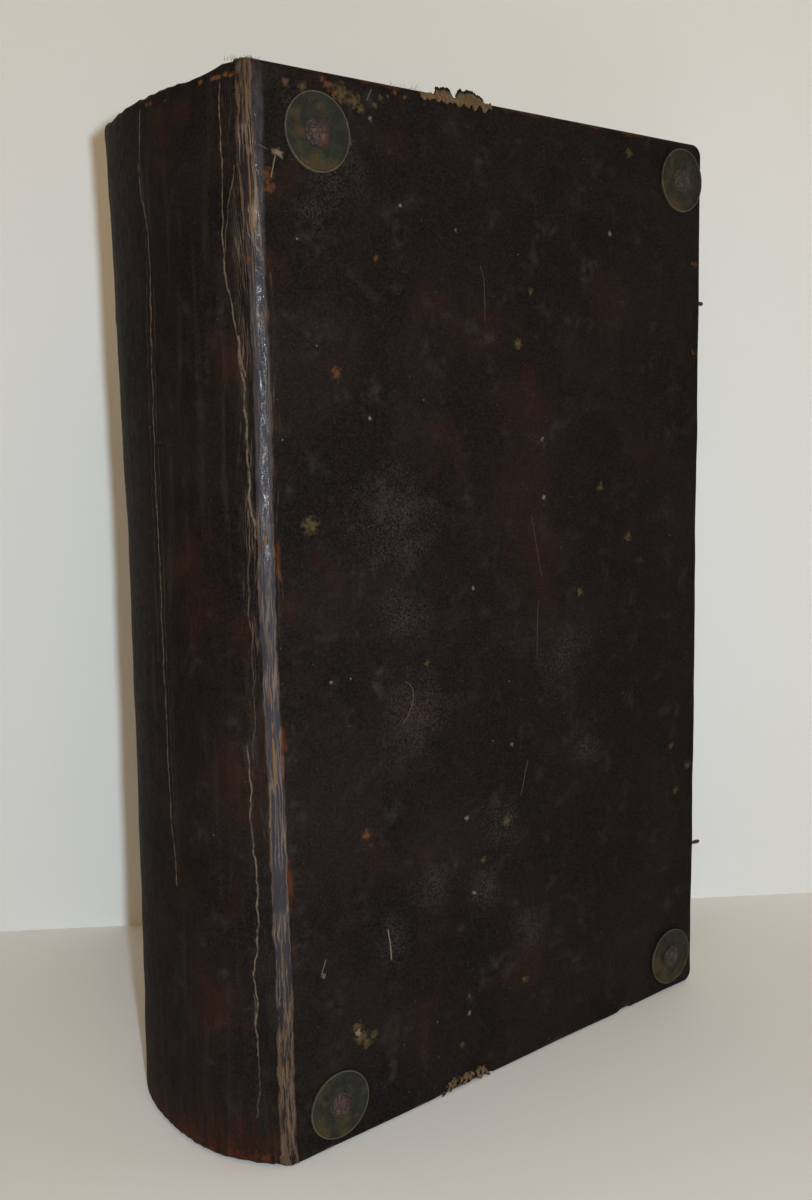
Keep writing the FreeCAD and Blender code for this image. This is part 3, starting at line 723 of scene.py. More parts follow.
        # Bare flesh side: solid at the tail and head, in streaks between.
        bare = profile(tree, up, heights(
            (0, 0.26), (35, 0.25), (62, 0.2), (75, 0.11), (180, 0.09), (240, 0.02), (335, 0.02), (345, 0.1), (368, 0.13),
            (378, 0.2), (400, 0.26),
        ))
        squash = node(
            tree, "ShaderNodeCombineXYZ", {0: bent, 1: combine(tree, "MULTIPLY", v, 0.12)}
        )
        streaks = node(
            tree, "ShaderNodeTexNoise", {
                "Vector": squash, "Scale": 1 / (1.7 * MM), "Detail": 5.0, "Roughness": 0.6
            },
        )
        worn = combine(tree, "ADD", streaks, bare)
        worn = node(tree, "ShaderNodeMapRange", {"Value": worn, "From Min": 0.69, "From Max": 0.78})
        worn = combine(tree, "MULTIPLY", worn, inside)
        edge_place = combine(tree, "SUBTRACT", off, 2.9 * MM)
        edge_place = node(tree, "ShaderNodeMath", {0: edge_place}, operation="ABSOLUTE")
        width = node(
            tree, "ShaderNodeMapRange",
            {"Value": loose, "From Min": 0.4, "From Max": 0.62, "To Max": 0.75 * MM}
        )
        border = combine(tree, "SUBTRACT", width, edge_place)
        border = node(
            tree, "ShaderNodeMapRange", {"Value": border, "From Min": 0.0, "From Max": 0.3 * MM}
        )
        left_side = node(tree, "ShaderNodeMath", {0: across, 1: 0.0}, operation="LESS_THAN")
        left_edge = profile(
            tree, up, heights((0, 0.3), (60, 0.8), (245, 0.8), (262, 0.35), (330, 0.35), (345, 1.0))
        )
        right_edge = profile(
            tree, up, heights((0, 0.3), (60, 0.7), (245, 0.8), (262, 0.4), (330, 0.4), (345, 0.15))
        )
        strength = node(tree, "ShaderNodeMix", {0: left_side, 2: right_edge, 3: left_edge})
        border = combine(tree, "MULTIPLY", border, strength)
        orange = patches(tree, uv, 7 * MM, 0.5, 0.62, detail=5.0, stretch=(1.2, 0.35, 1.0))
        orange = combine(tree, "MULTIPLY", orange, band(tree, across, 2.2 * MM, 5.2 * MM, 1 * MM))
        orange = combine(tree, "MULTIPLY", orange, profile(tree, up, heights(
            (0, 0.2), (60, 0.3), (80, 0.6), (240, 0.9), (260, 0.2), (400, 0.1))))

        rubbed_grey = profile(tree, up, heights(
            (0, 0.1), (60, 0.3), (90, 0.75), (250, 0.9), (335, 0.5), (350, 0.2), (400, 0.1)))

        # Rubbed to a shine: a narrow band that moves from the cover's side on to the ridge. Besides its low
        # roughness, the band is painted lighter grey as a painted sheen.
        shine_at = course(
            tree, up, ((400, 5.2), (372, 4.8), (345, 2.6), (325, 0.8), (240, 0.4), (0, 0.0))
        )
        shine = combine(tree, "SUBTRACT", bent, shine_at)
        shine = node(tree, "ShaderNodeMath", {0: shine}, operation="ABSOLUTE")
        shine = node(
            tree, "ShaderNodeMapRange", {
                "Value": shine, "From Min": 2.6 * MM, "From Max": 1.0 * MM
            },
            interpolation_type="SMOOTHSTEP",
        )
        shine = combine(tree, "MULTIPLY", shine, profile(tree, up, heights(
            (0, 0.03), (120, 0.08), (200, 0.15), (226, 0.3), (246, 0.95), (335, 1.0), (385, 0.7), (400, 0.2))))
        glint = patches(tree, uv, 2.4 * MM, 0.36, 0.6, detail=4.0, stretch=(1.0, 0.5, 1.0))
        sheen = combine(tree, "MULTIPLY", shine, glint)

        # The tail of the back is rubbed brown in upright streaks.
        low_back = node(
            tree, "ShaderNodeMapRange", {"Value": v, "From Min": 46 * MM, "From Max": 2 * MM}
        )
        rubbed = patches(tree, rest, 2.2 * MM, 0.3, 0.72, detail=8.0, stretch=(1.0, 1.0, 0.2))
        low_back = combine(tree, "MULTIPLY", low_back, low_back, on_back, rubbed)
        links = {"Value": v, "From Min": 8 * MM, "From Max": 2 * MM}
        fringe = node(tree, "ShaderNodeMapRange", links)
        fringe = combine(
            tree, "MULTIPLY", fringe, on_back, patches(tree, rest, 2.5 * MM, 0.5, 0.62, detail=5.0)
        )

        # Rims: rubbed brown and frayed.
        fray = combine(tree, "ADD", combine(tree, "MULTIPLY", rim, 0.42), loose)
        fray = node(tree, "ShaderNodeMapRange", {"Value": fray, "From Min": 0.9, "From Max": 1.04})

        sway = combine(tree, "SUBTRACT", loose, 0.5)
        swayed = node(
            tree, "ShaderNodeMath", {0: sway, 1: 4 * MM, 2: rest_y}, operation="MULTIPLY_ADD"
        )
        lines = traces(tree, swayed, up, BACK_LINES)
        broken = patches(tree, rest, 2.6 * MM, 0.36, 0.58, detail=4.0)
        links = {"Value": broken, "To Min": 0.35}
        lines = combine(tree, "MULTIPLY", lines, on_back, node(tree, "ShaderNodeMapRange", links))
        layers = [
            (colours.leather_brown, combine(tree, "MULTIPLY", brown, 0.85)),
            (colours.leather_red, combine(tree, "MULTIPLY", red, 0.3)),
            (colours.leather_bloom, combine(tree, "MULTIPLY", bloom, mottle, 0.5)),
            (colours.leather_bloom, combine(tree, "MULTIPLY", mottle, 0.04)),
            (colours.leather_bloom, combine(tree, "MULTIPLY", grain, 0.15)),
            (colours.leather_bloom, combine(tree, "MULTIPLY", streak, on_back, 0.2)),
            (colours.leather_red, combine(tree, "MULTIPLY", low_back, 0.7)),
            (colours.rust_orange, combine(tree, "MULTIPLY", low_back, low_back, 0.35)),
            (colours.rust_orange, combine(tree, "MULTIPLY", fringe, 0.7)),
            (colours.ridge_grey_and_sheen, combine(tree, "MULTIPLY", inside, rubbed_grey)),
            # Painted sheen: the shiny band painted lighter grey.
            (colours.ridge_grey_and_sheen, combine(tree, "MULTIPLY", shine, 0.8)),
            (colours.rust_orange, orange),
            (colours.rust_orange, combine(tree, "MULTIPLY", fray, 0.6)),
            (colours.flesh_tan, worn),
            (colours.flesh_tan, border),
            (colours.flesh_pale_and_rim_highlight, combine(tree, "MULTIPLY", split, 0.68)),
            (colours.flesh_pale_and_rim_highlight, combine(tree, "MULTIPLY", hair, 0.42)),
            (colours.flesh_pale_and_rim_highlight, lines),
            (colours.flesh_pale_and_rim_highlight, combine(tree, "MULTIPLY", pale, 0.7)),
            (colours.flesh_pale_and_rim_highlight, combine(tree, "MULTIPLY", tiny, 0.45)),
        ]
        if front:
            noise = combine(tree, "MULTIPLY", sway, 1.2 * MM)
            scratched = traces(tree, combine(tree, "ADD", u, noise), up, COVER_SCRATCHES)
            flat = node(tree, "ShaderNodeCombineXYZ", {0: rest_y, 1: v})
            layers[2:2] = [
                (
                    colours.leather_red,
                    combine(tree, "MULTIPLY", blots(tree, uv, RED_SPOTS, loose, 1.5), 0.34)
                ),
                (colours.leather_bloom, combine(
                    tree, "MULTIPLY", blots(tree, uv, BLOOM_SPOTS, loose, 1.5), grain, 0.6)),
                (colours.leather_red, combine(
                    tree, "MULTIPLY", blots(tree, flat, BACK_REDS, loose, 1.2), on_back, 0.6)),
            ]
            orange_spots = combine(
                tree, "MULTIPLY", blots(tree, flat, BACK_ORANGE, ragged), on_back
            )
            layers += [
                (
                    colours.spot_ochre,
                    combine(tree, "MULTIPLY", blots(tree, uv, OCHRE_SPOTS, ragged), 0.7)
                ),
                (
                    colours.spot_orange,
                    combine(tree, "MULTIPLY", blots(tree, uv, ORANGE_SPOTS, ragged), 0.8)
                ),
                (colours.spot_orange, orange_spots),
                (
                    colours.flesh_pale_and_rim_highlight,
                    combine(tree, "MULTIPLY", blots(tree, uv, PALE_SPOTS, ragged), 0.7)
                ),
                (colours.flesh_pale_and_rim_highlight, scratched),
            ]
        ground = coats(tree, colours.leather_dark, layers)
        tan = combine(tree, "MAXIMUM", worn, border)
        rough = combine(tree, "ADD", combine(tree, "MULTIPLY", mottle, 0.15), 0.6)
        rough = combine(tree, "ADD", rough, combine(tree, "MULTIPLY", tan, 0.2))
        rough = combine(tree, "SUBTRACT", rough, combine(tree, "MULTIPLY", shine, 0.44))
        level = combine(tree, "ADD", combine(tree, "MULTIPLY", sheen, 0.5), 0.05)
        height = combine(
            tree, "ADD", combine(tree, "MULTIPLY", grain, 0.4),
            combine(tree, "MULTIPLY", mottle, 0.3)
        )
        height = combine(tree, "ADD", height, combine(tree, "MULTIPLY", tan, 1.2), split)
        height = combine(tree, "ADD", height, combine(tree, "MULTIPLY", streaks, inside, 2.0))
        height = combine(tree, "ADD", height, combine(tree, "MULTIPLY", glint, shine, 2.5))
        bump = node(tree, "ShaderNodeBump", {"Height": height, "Distance": 0.12 * MM})
        return node(tree, "ShaderNodeBsdfPrincipled", {
            "Base Color": ground, "Roughness": rough, "Normal": bump, "Specular IOR Level": level,
            "IOR": 1.5,
        })

    return finish_material(name, build)


def paper_material(name, colours, edges):
    """Rag paper: matt, uneven, browned, with the leaves' edges as fine dusty lines."""

    def build(tree):
        where = node(tree, "ShaderNodeTexCoord").outputs["Object"]
        stain = patches(tree, where, 60 * MM, 0.35, 0.85, detail=9.0)
        fox = specks(tree, where, 17 * MM, 1.4 * MM, 0.3)
        lines = patches(tree, where, 60 * MM, 0.3, 0.7, detail=6.0, stretch=(1.0, 190.0, 1.0))
        share = 0.55 if edges else 0.12
        ground = coats(tree, colours.paper, [
            (colours.paper_edge, combine(tree, "MULTIPLY", stain, 0.4)),
            (colours.paper_edge, combine(tree, "MULTIPLY", lines, share)),
            (colours.flesh_tan, combine(tree, "MULTIPLY", fox, 0.3)),
        ])
        bump = node(
            tree, "ShaderNodeBump", {"Height": lines if edges else stain, "Distance": 0.1 * MM}
        )
        return node(tree, "ShaderNodeBsdfPrincipled", {
            "Base Color": ground, "Roughness": 0.9, "Normal": bump, "Specular IOR Level": 0.2,
        })

    return finish_material(name, build)


def brass_material(name, colours):
    """Brass plate gone dark: green-brown corrosion, ochre where damp gathered, dull all over, with a pale painted
    highlight along the raised rim.
    """

    def build(tree):
        where = node(tree, "ShaderNodeTexCoord").outputs["Object"]
        rim = node(tree, "ShaderNodeAttribute", attribute_name="rim").outputs["Fac"]
        lean = node(tree, "ShaderNodeAttribute", attribute_name="lean").outputs["Fac"]
        green = patches(tree, where, 4 * MM, 0.4, 0.66, detail=7.0)
        damp = node(
            tree, "ShaderNodeTexNoise", {"Vector": where, "Scale": 1 / (5 * MM), "Detail": 7.0}
        )
        damp = combine(tree, "ADD", damp, combine(tree, "MULTIPLY", lean, 0.16))
        damp = node(tree, "ShaderNodeMapRange", {"Value": damp, "From Min": 0.5, "From Max": 0.72})
        pit = patches(tree, where, 0.9 * MM, 0.45, 0.7, detail=5.0)
        ground = coats(tree, colours.verdigris_dark, [
            (colours.verdigris_green, green),
            (colours.verdigris_ochre, combine(tree, "MULTIPLY", damp, 0.75)),
            (colours.rust_orange, combine(tree, "MULTIPLY", damp, pit, 0.5)),
            (colours.verdigris_dark, combine(tree, "MULTIPLY", pit, 0.45)),
            # Painted highlight: a pale line along the crest of the disc's raised rim.
            (colours.flesh_pale_and_rim_highlight, combine(tree, "MULTIPLY", rim, 0.35)),
        ])
        bump = node(tree, "ShaderNodeBump", {"Height": pit, "Distance": 0.12 * MM})
        return node(tree, "ShaderNodeBsdfPrincipled", {
            "Base Color": ground, "Metallic": 0.1, "Roughness": 0.65, "Normal": bump,
            "Specular IOR Level": 0.25,
        })

    return finish_material(name, build)


def rust_material(name, colours):
    """Wrought iron under a crust of rust: rough, pitted, orange low down where it is fresh."""

    def build(tree):
        where = node(tree, "ShaderNodeTexCoord").outputs["Object"]
        lean = node(tree, "ShaderNodeAttribute", attribute_name="lean").outputs["Fac"]
        fresh = node(
            tree, "ShaderNodeTexNoise", {"Vector": where, "Scale": 1 / (2.4 * MM), "Detail": 6.0}
        )
        fresh = combine(tree, "ADD", fresh, combine(tree, "MULTIPLY", lean, 0.12))
        fresh = node(
            tree, "ShaderNodeMapRange", {"Value": fresh, "From Min": 0.53, "From Max": 0.64}
        )
        dark = crackle(tree, where, 3.2 * MM, 0.3 * MM, (1.0, 1.0, 1.0), 2.6)
        worn = patches(tree, where, 3.4 * MM, 0.4, 0.66, detail=6.0)
        pit = patches(tree, where, 0.7 * MM, 0.35, 0.7, detail=6.0)
        ground = coats(tree, colours.rust, [
            (colours.rust_dark, worn),
            (colours.rust_bright, combine(tree, "MULTIPLY", fresh, 0.75)),
            (colours.leather_dark, combine(tree, "MULTIPLY", dark, 0.6)),
            (colours.leather_dark, combine(tree, "MULTIPLY", pit, 0.35)),
        ])
        height = combine(tree, "SUBTRACT", pit, dark)
        return node(tree, "ShaderNodeBsdfPrincipled", {
            "Base Color": ground, "Metallic": 0.2, "Roughness": 0.62,
            "Normal": node(tree, "ShaderNodeBump", {"Height": height, "Distance": 0.2 * MM}),
        })

    return finish_material(name, build)


def oak_material(name, colours):
    """Quarter-sawn oak: grain along the board's height, dull and dry."""

    def build(tree):
        where = node(tree, "ShaderNodeTexCoord").outputs["Object"]
        grain = patches(tree, where, 2.2 * MM, 0.35, 0.7, detail=5.0, stretch=(1.0, 1.0, 0.03))
        ring = patches(tree, where, 14 * MM, 0.35, 0.7, detail=3.0, stretch=(1.0, 1.0, 0.02))
        dark = linear("#3f2914")
        ground = coats(tree, colours.oak, [
            (dark, combine(tree, "MULTIPLY", grain, 0.7)),
            (dark, combine(tree, "MULTIPLY", ring, 0.4)),
        ])
        return node(tree, "ShaderNodeBsdfPrincipled", {
            "Base Color": ground, "Roughness": 0.8, "Normal": node(
                tree, "ShaderNodeBump", {"Height": grain, "Distance": 0.1 * MM}
            ),
        })

    return finish_material(name, build)


def skin_lining_material(name, colours):
    """Tawed skin and parchment: pale, slightly yellow, with darker glue."""

    def build(tree):
        where = node(tree, "ShaderNodeTexCoord").outputs["Object"]
        glue = patches(tree, where, 9 * MM, 0.4, 0.7, detail=6.0)
        ground = coats(tree, colours.parchment, [
            (colours.flesh_tan, combine(tree, "MULTIPLY", glue, 0.6)),
        ])
        return node(tree, "ShaderNodeBsdfPrincipled", {
            "Base Color": ground, "Roughness": 0.65, "Normal": node(
                tree, "ShaderNodeBump", {"Height": glue, "Distance": 0.1 * MM}
            ),
        })

    return finish_material(name, build)


def thread_material(name, colours):
    """Undyed linen thread wound tight: dull, with painted shade in the grooves between its turns and patches of dirt.
    """

    def build(tree):
        turn = node(tree, "ShaderNodeAttribute", attribute_name="crest").outputs["Fac"]
        where = node(tree, "ShaderNodeTexCoord").outputs["Object"]
        dirt = patches(tree, where, 6 * MM, 0.4, 0.7, detail=5.0)
        # Painted shade: only the crests of the turns get the thread's colour and the grooves between them stay dark.
        # Dirt patches lie over that.
        ground = coats(tree, colours.thread_groove_shade_and_dirt, [
            (colours.thread, turn),
            (colours.thread_groove_shade_and_dirt, combine(tree, "MULTIPLY", dirt, 0.5)),
        ])
        return node(tree, "ShaderNodeBsdfPrincipled", {
            "Base Color": ground, "Roughness": 0.85, "Normal": node(
                tree, "ShaderNodeBump", {"Height": dirt, "Distance": 0.05 * MM}
            ),
        })

    return finish_material(name, build)


def torn_material(name, colours):
    """Torn edge of the skin: tan and orange fibres, with the dark grain side left at the crest."""

    def build(tree):
        where = node(tree, "ShaderNodeTexCoord").outputs["Object"]
        crest = node(tree, "ShaderNodeAttribute", attribute_name="crest").outputs["Fac"]
        fibre = patches(tree, where, 1.1 * MM, 0.36, 0.66, detail=6.0, stretch=(1.0, 1.0, 0.3))
        orange = patches(tree, where, 3 * MM, 0.42, 0.62, detail=4.0)
        uneven = patches(tree, where, 1.5 * MM, 0.2, 0.8, detail=4.0)
        dark = combine(tree, "ADD", crest, combine(tree, "MULTIPLY", uneven, 0.5))
        dark = node(tree, "ShaderNodeMapRange", {"Value": dark, "From Min": 0.6, "From Max": 0.95})
        ground = coats(tree, colours.spot_ochre, [
            (colours.spot_orange, combine(tree, "MULTIPLY", orange, 0.8)),
            (colours.flesh_pale_and_rim_highlight, combine(tree, "MULTIPLY", fibre, 0.3)),
            (colours.leather_dark, dark),
        ])
        bump = node(tree, "ShaderNodeBump", {"Height": fibre, "Distance": 0.2 * MM})
        return node(tree, "ShaderNodeBsdfPrincipled", {
            "Base Color": ground, "Roughness": 0.85, "Normal": bump, "Specular IOR Level": 0.15,
        })

    return finish_material(name, build)


def torn_strip(across, low, high, lean):
    """Upright strip between two ragged outlines on the front cover, leaning in above the edge."""
    share = np.linspace(0, 1, 9)[None, :]
    x = JOINT_X + across[:, None] + 0 * share
    z = low[:, None] + (high - low)[:, None] * share
    y = -HALF - 0.12 * MM + lean * np.clip(z - (HEIGHT - 1.2 * MM), 0, None)
    points = np.stack([x, y + 0.1 * MM * ripple(np.stack([x, z], axis=-1), 2 * MM, 51), z], axis=-1)
    return points, grid_faces(*x.shape)


def fibres(roots, tips, radius, seed):
    """Loose fibres: thin square tubes from roots to tips, bent sideways and drawn to a point."""
    rng = np.random.default_rng(seed)
    share = np.linspace(0, 1, 7)[None, :, None]
    sag = rng.normal(size=roots.shape)[:, None, :] * 0.35 * np.linalg.norm(tips - roots, axis=1)[:, None, None]
    path = roots[:, None] + (tips - roots)[:, None] * share + sag * share * (1 - share)
    angle = np.arange(4) * np.pi / 2
    ring = np.stack([np.cos(angle), np.sin(angle), np.zeros(4)], axis=1)
    points = path[:, :, None] + ring * radius * (1 - 0.85 * share[..., None])
    one = grid_faces(7, 4, close_rows=True)
    faces = one[None] + (np.arange(len(roots)) * 28)[:, None, None]
    return points, faces.reshape(-1, 4)


class BOOK_OT_tears(Operator):
    """Torn places of the front leather: a lifted flap at the head, a notch at the tail, frays"""

    bl_idname = "book.tears"
    bl_label = "Torn places"

    def execute(self, context):
        """Strips between ragged outlines, and fibres scattered along the edges."""
        colours = context.scene.book_colours
        torn = torn_material("torn calf", colours)
        across = np.linspace(74 * MM, 109 * MM, 150)
        line = across[:, None]
        lumps = 3.3 * MM * np.clip(1 - ((across - 85.2 * MM) / (4.6 * MM)) ** 4, 0, 1)
        lumps += 3.9 * MM * np.clip(1 - ((across - 98 * MM) / (7.2 * MM)) ** 4, 0, 1)
        lumps += 0.9 * MM * np.clip(1 - ((across - 108 * MM) / (1.2 * MM)) ** 2, 0, 1)
        ragged = ripple(line, 1.1 * MM, 52) * 0.22 * MM + ripple(line, 4 * MM, 53) * 0.3 * MM
        high = HEIGHT - 0.7 * MM + lumps + ragged
        low = HEIGHT - 2.7 * MM + ripple(line, 5 * MM, 54) * 0.6 * MM + ripple(line, 1.4 * MM, 59) * 0.15 * MM
        points, faces = torn_strip(across, low, high, 0.3)
        crest = np.clip(1 - (high[:, None] - points[..., 2]) / (2.4 * MM), 0, 1)
        crest = crest * (lumps[:, None] > 1 * MM)
        flap = add_piece("front_head_flap", points, [faces], torn, values={"crest": crest})
        thicken(flap, 0.7 * MM)

        start, stop, depth = NOTCHES[0]
        across = np.linspace(start + 1 * MM, stop - 1 * MM, 140)
        line = across[:, None]
        teeth = np.abs(ripple(line, 1.5 * MM, 55)) * 0.7 * MM
        low = depth - 1.2 * MM - teeth
        high = depth + 1.1 * MM + np.abs(ripple(line, 1.6 * MM, 56)) * 1.1 * MM
        fade = smoothstep(across, start, start + 5 * MM) * (
            1 - smoothstep(across, stop - 5 * MM, stop)
        )
        low, high = 0.2 * MM + low * fade, 0.6 * MM + high * fade
        points, faces = torn_strip(across, np.clip(low, 0.15 * MM, None), high, 0.0)
        crest = 0.42 + 0.28 * ripple(points, 1.8 * MM, 60)
        notch = add_piece("front_tail_tear", points, [faces], torn, values={"crest": crest})
        thicken(notch, 0.5 * MM)

        rng = np.random.default_rng(57)
        groups = ((-4, 5, 399.2, 46), (80, 106, 400.5, 34), (60, 74, 399.6, 16))
        roots = np.concatenate([
            np.stack([
                JOINT_X + rng.uniform(low, high, count) * MM, np.full(count, -HALF + 0.2 * MM),
                np.full(count, z * MM),
            ], axis=1) for low, high, z, count in groups
        ])
        roots[:, 1] += np.where(roots[:, 0] < JOINT_X, (JOINT_X - roots[:, 0]) * 1.8, 0)
        tips = roots + rng.normal(size=roots.shape) * np.array([1.1, 0.8, 0.5]) * MM
        tips[:, 2] += rng.uniform(0.2, 1.5, len(roots)) * MM
        points, faces = fibres(roots, tips, 0.09 * MM, 58)
        crest = np.zeros(points.shape[:3])
        frays = add_piece("front_frays", points, [faces], torn, values={"crest": crest})
        for piece in (flap, notch, frays):
            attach(piece, "front_cover")
        return {"FINISHED"}


class BOOK_OT_leather(Operator):
    """Leather over both boards and the round back"""

    bl_idname = "book.leather"
    bl_label = "Leather"

    def execute(self, context):
        sizes, colours = context.scene.book_sizes, context.scene.book_colours
        for side, sign in SIDES.items():
            material = leather_material(f"dark calf, {side}", colours, side)
            points, faces, uv, values = skin(sizes, side)
            piece = add_piece(f"{side}_leather", points, [faces], material, uv, values)
            thicken(piece, sizes.skin_thickness)
            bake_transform(piece)
            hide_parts(f"{side}_cover_leather", "spine_leather")
        return {"FINISHED"}


def leaf_solid(sizes):
    """The leaves: loops round the edges of the leaves, one loop for each side of a group.

    A loop goes from the back along the head, down the fore-edge, and back along the tail. Its
    leaf lies at one y, flares out behind the shoulders, ends on the round back and on the
    hollow fore-edge, and stands in from the block's faces by a random step of its own.
    """
    groups = sizes.leaf_groups
    rng = np.random.default_rng(11)
    inner = np.sort(rng.uniform(-1, 1, groups - 1) * 0.15 + np.linspace(-1, 1, groups + 1)[1:-1])
    bounds = np.concatenate([[-1], np.clip(inner, -0.995, 0.995), [1]])
    level = np.stack([bounds[:-1] + 0.0004, bounds[1:] - 0.0004], axis=1).ravel()
    step = np.repeat(rng.uniform(0, 1, (groups, 3)), 2, axis=0)
    gathering = np.repeat((np.arange(groups) % 8 == 0) * 0.5, 2)[:, None]
    step = (step + gathering) * sizes.leaf_step

    shoulder, flare = JOINT_X - 0.15 * MM, HALF - 3.2 * MM
    fore = BLOCK_HIGH.x - 12 * MM * (1 - level**2)
    head_share = np.concatenate([np.linspace(0, 1, 6)[:-1], np.linspace(1, 2, 26)])
    down_share = np.linspace(0, 1, 86)[1:-1]
    up_share = np.linspace(0, 1, 10)[1:-1]

    def across(z_value):
        back = JOINT_X + back_x(level * flare, np.full_like(level, z_value)) + 2.8 * MM
        back = np.minimum(back, shoulder)
        knots_x = np.stack([back, np.full_like(back, shoulder), fore], axis=1)
        knots_y = np.stack([level * flare, level * BLOCK_SIDE, level * BLOCK_SIDE], axis=1)
        low = np.floor(np.clip(head_share, 0, 1.9999)).astype(int)
        part = head_share - low
        x = knots_x[:, low] * (1 - part) + knots_x[:, low + 1] * part
        y = knots_y[:, low] * (1 - part) + knots_y[:, low + 1] * part
        return x, y

    head_x, head_y = across(BLOCK_HIGH.z)
    tail_x, tail_y = across(BLOCK_LOW.z)
    head_z = np.broadcast_to(BLOCK_HIGH.z - step[:, :1], head_x.shape)
    tail_z = np.broadcast_to(BLOCK_LOW.z + step[:, 1:2], tail_x.shape)
    wave = ripple(np.stack(np.broadcast_arrays(
        level[:, None] * 0.4, down_share[None, :] * 0.3), axis=-1), 60 * MM, 12)
    fore_x = fore[:, None] - step[:, 2:3] - 0.15 * MM * np.abs(wave)
    fore_y = np.broadcast_to((level * BLOCK_SIDE)[:, None], fore_x.shape)
    fore_z = BLOCK_HIGH.z + (BLOCK_LOW.z - BLOCK_HIGH.z) * down_share[None, :]
    fore_z = np.broadcast_to(fore_z, fore_x.shape)
    head_x = head_x - step[:, 2:3] * np.clip(head_share - 1, 0, 1)
    tail_x = tail_x - step[:, 2:3] * np.clip(head_share - 1, 0, 1)
    rise = BLOCK_LOW.z + (BLOCK_HIGH.z - BLOCK_LOW.z) * up_share
    back_line = JOINT_X + back_x((level * flare)[:, None], rise[None, :]) + 2.8 * MM
    back_line = np.minimum(back_line, shoulder)
    back_y = np.broadcast_to((level * flare)[:, None], back_line.shape)
    back_z = np.broadcast_to(rise[None, :], back_line.shape)
    x = np.concatenate([head_x, fore_x, tail_x[:, ::-1], back_line], axis=1)
    y = np.concatenate([head_y, fore_y, tail_y[:, ::-1], back_y], axis=1)
    z = np.concatenate([head_z, fore_z, tail_z[:, ::-1], back_z], axis=1)
    points = np.stack([x, y, z], axis=-1)
    count = x.shape[1]
    sides = grid_faces(*x.shape, close_rows=True)
    turn = 5
    page = np.arange(turn, head_x.shape[1] + len(down_share) + head_x.shape[1] - turn)
    spine_edge = np.concatenate([np.arange(page[-1], count), np.arange(0, turn + 1)])
    last = (len(level) - 1) * count
    ends = [[page[::-1]], [page + last], [spine_edge[::-1]], [spine_edge + last]]
    return points, [sides[:, ::-1]] + [[row[0][::-1]] for row in ends]


class BOOK_OT_leaves(Operator):
    """All the leaves as one piece"""

    bl_idname = "book.leaves"
    bl_label = "Leaves"

    def execute(self, context):
        sizes, colours = context.scene.book_sizes, context.scene.book_colours
        points, faces = leaf_solid(sizes)
        material = paper_material("rag paper, leaf edges", colours, True)
        piece = add_piece("leaves", points, faces, material, smooth=False)
        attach(piece, "book_block")
        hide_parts("text_block")
        return {"FINISHED"}


class BOOK_OT_lining(Operator):
    """Parchment glued to the back of the leaves, the sewing tapes and the boards"""

    bl_idname = "book.lining"
    bl_label = "Lining, tapes and boards"

    def execute(self, context):
        colours = context.scene.book_colours
        material = skin_lining_material("glued parchment", colours)
        y, z = np.meshgrid(
            np.linspace(-HALF + 9 * MM, HALF - 9 * MM, 60),
            np.linspace(BLOCK_LOW.z, BLOCK_HIGH.z, 60), indexing="ij",
        )
        x = JOINT_X + back_x(y, z) + 1.7 * MM
        faces = grid_faces(60, 60)[:, ::-1]
        piece = add_piece("spine_parchment", np.stack([x, y, z], axis=-1), [faces], material)
        thicken(piece, 0.8 * MM)
        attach(piece, "book_block")
        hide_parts("spine_lining")
        tawed = skin_lining_material("tawed skin", colours)
        oak = oak_material("quarter-sawn oak", colours)
        for name, item in frame["nodes"].items():
            if name.startswith("sewing_tape"):
                low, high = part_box(name)
                y, z = np.meshgrid(
                    np.linspace(-HALF + 9 * MM, HALF - 9 * MM, 40), np.linspace(low.z, high.z, 6),
                    indexing="ij",
                )
                x = JOINT_X + back_x(y, z) + 2.53 * MM
                faces = grid_faces(40, 6)[:, ::-1]
                tape = add_piece(f"{name}_strip", np.stack([x, y, z], axis=-1), [faces], tawed)
                thicken(tape, 0.24 * MM)
                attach(tape, "book_block")
                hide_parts(name)
            elif name.endswith("_board"):
                set_material(item, oak)
        return {"FINISHED"}


def set_material(item, material):
    """Gives a piece of the frame its finish."""
    item.data.materials.clear()
    item.data.materials.append(material)


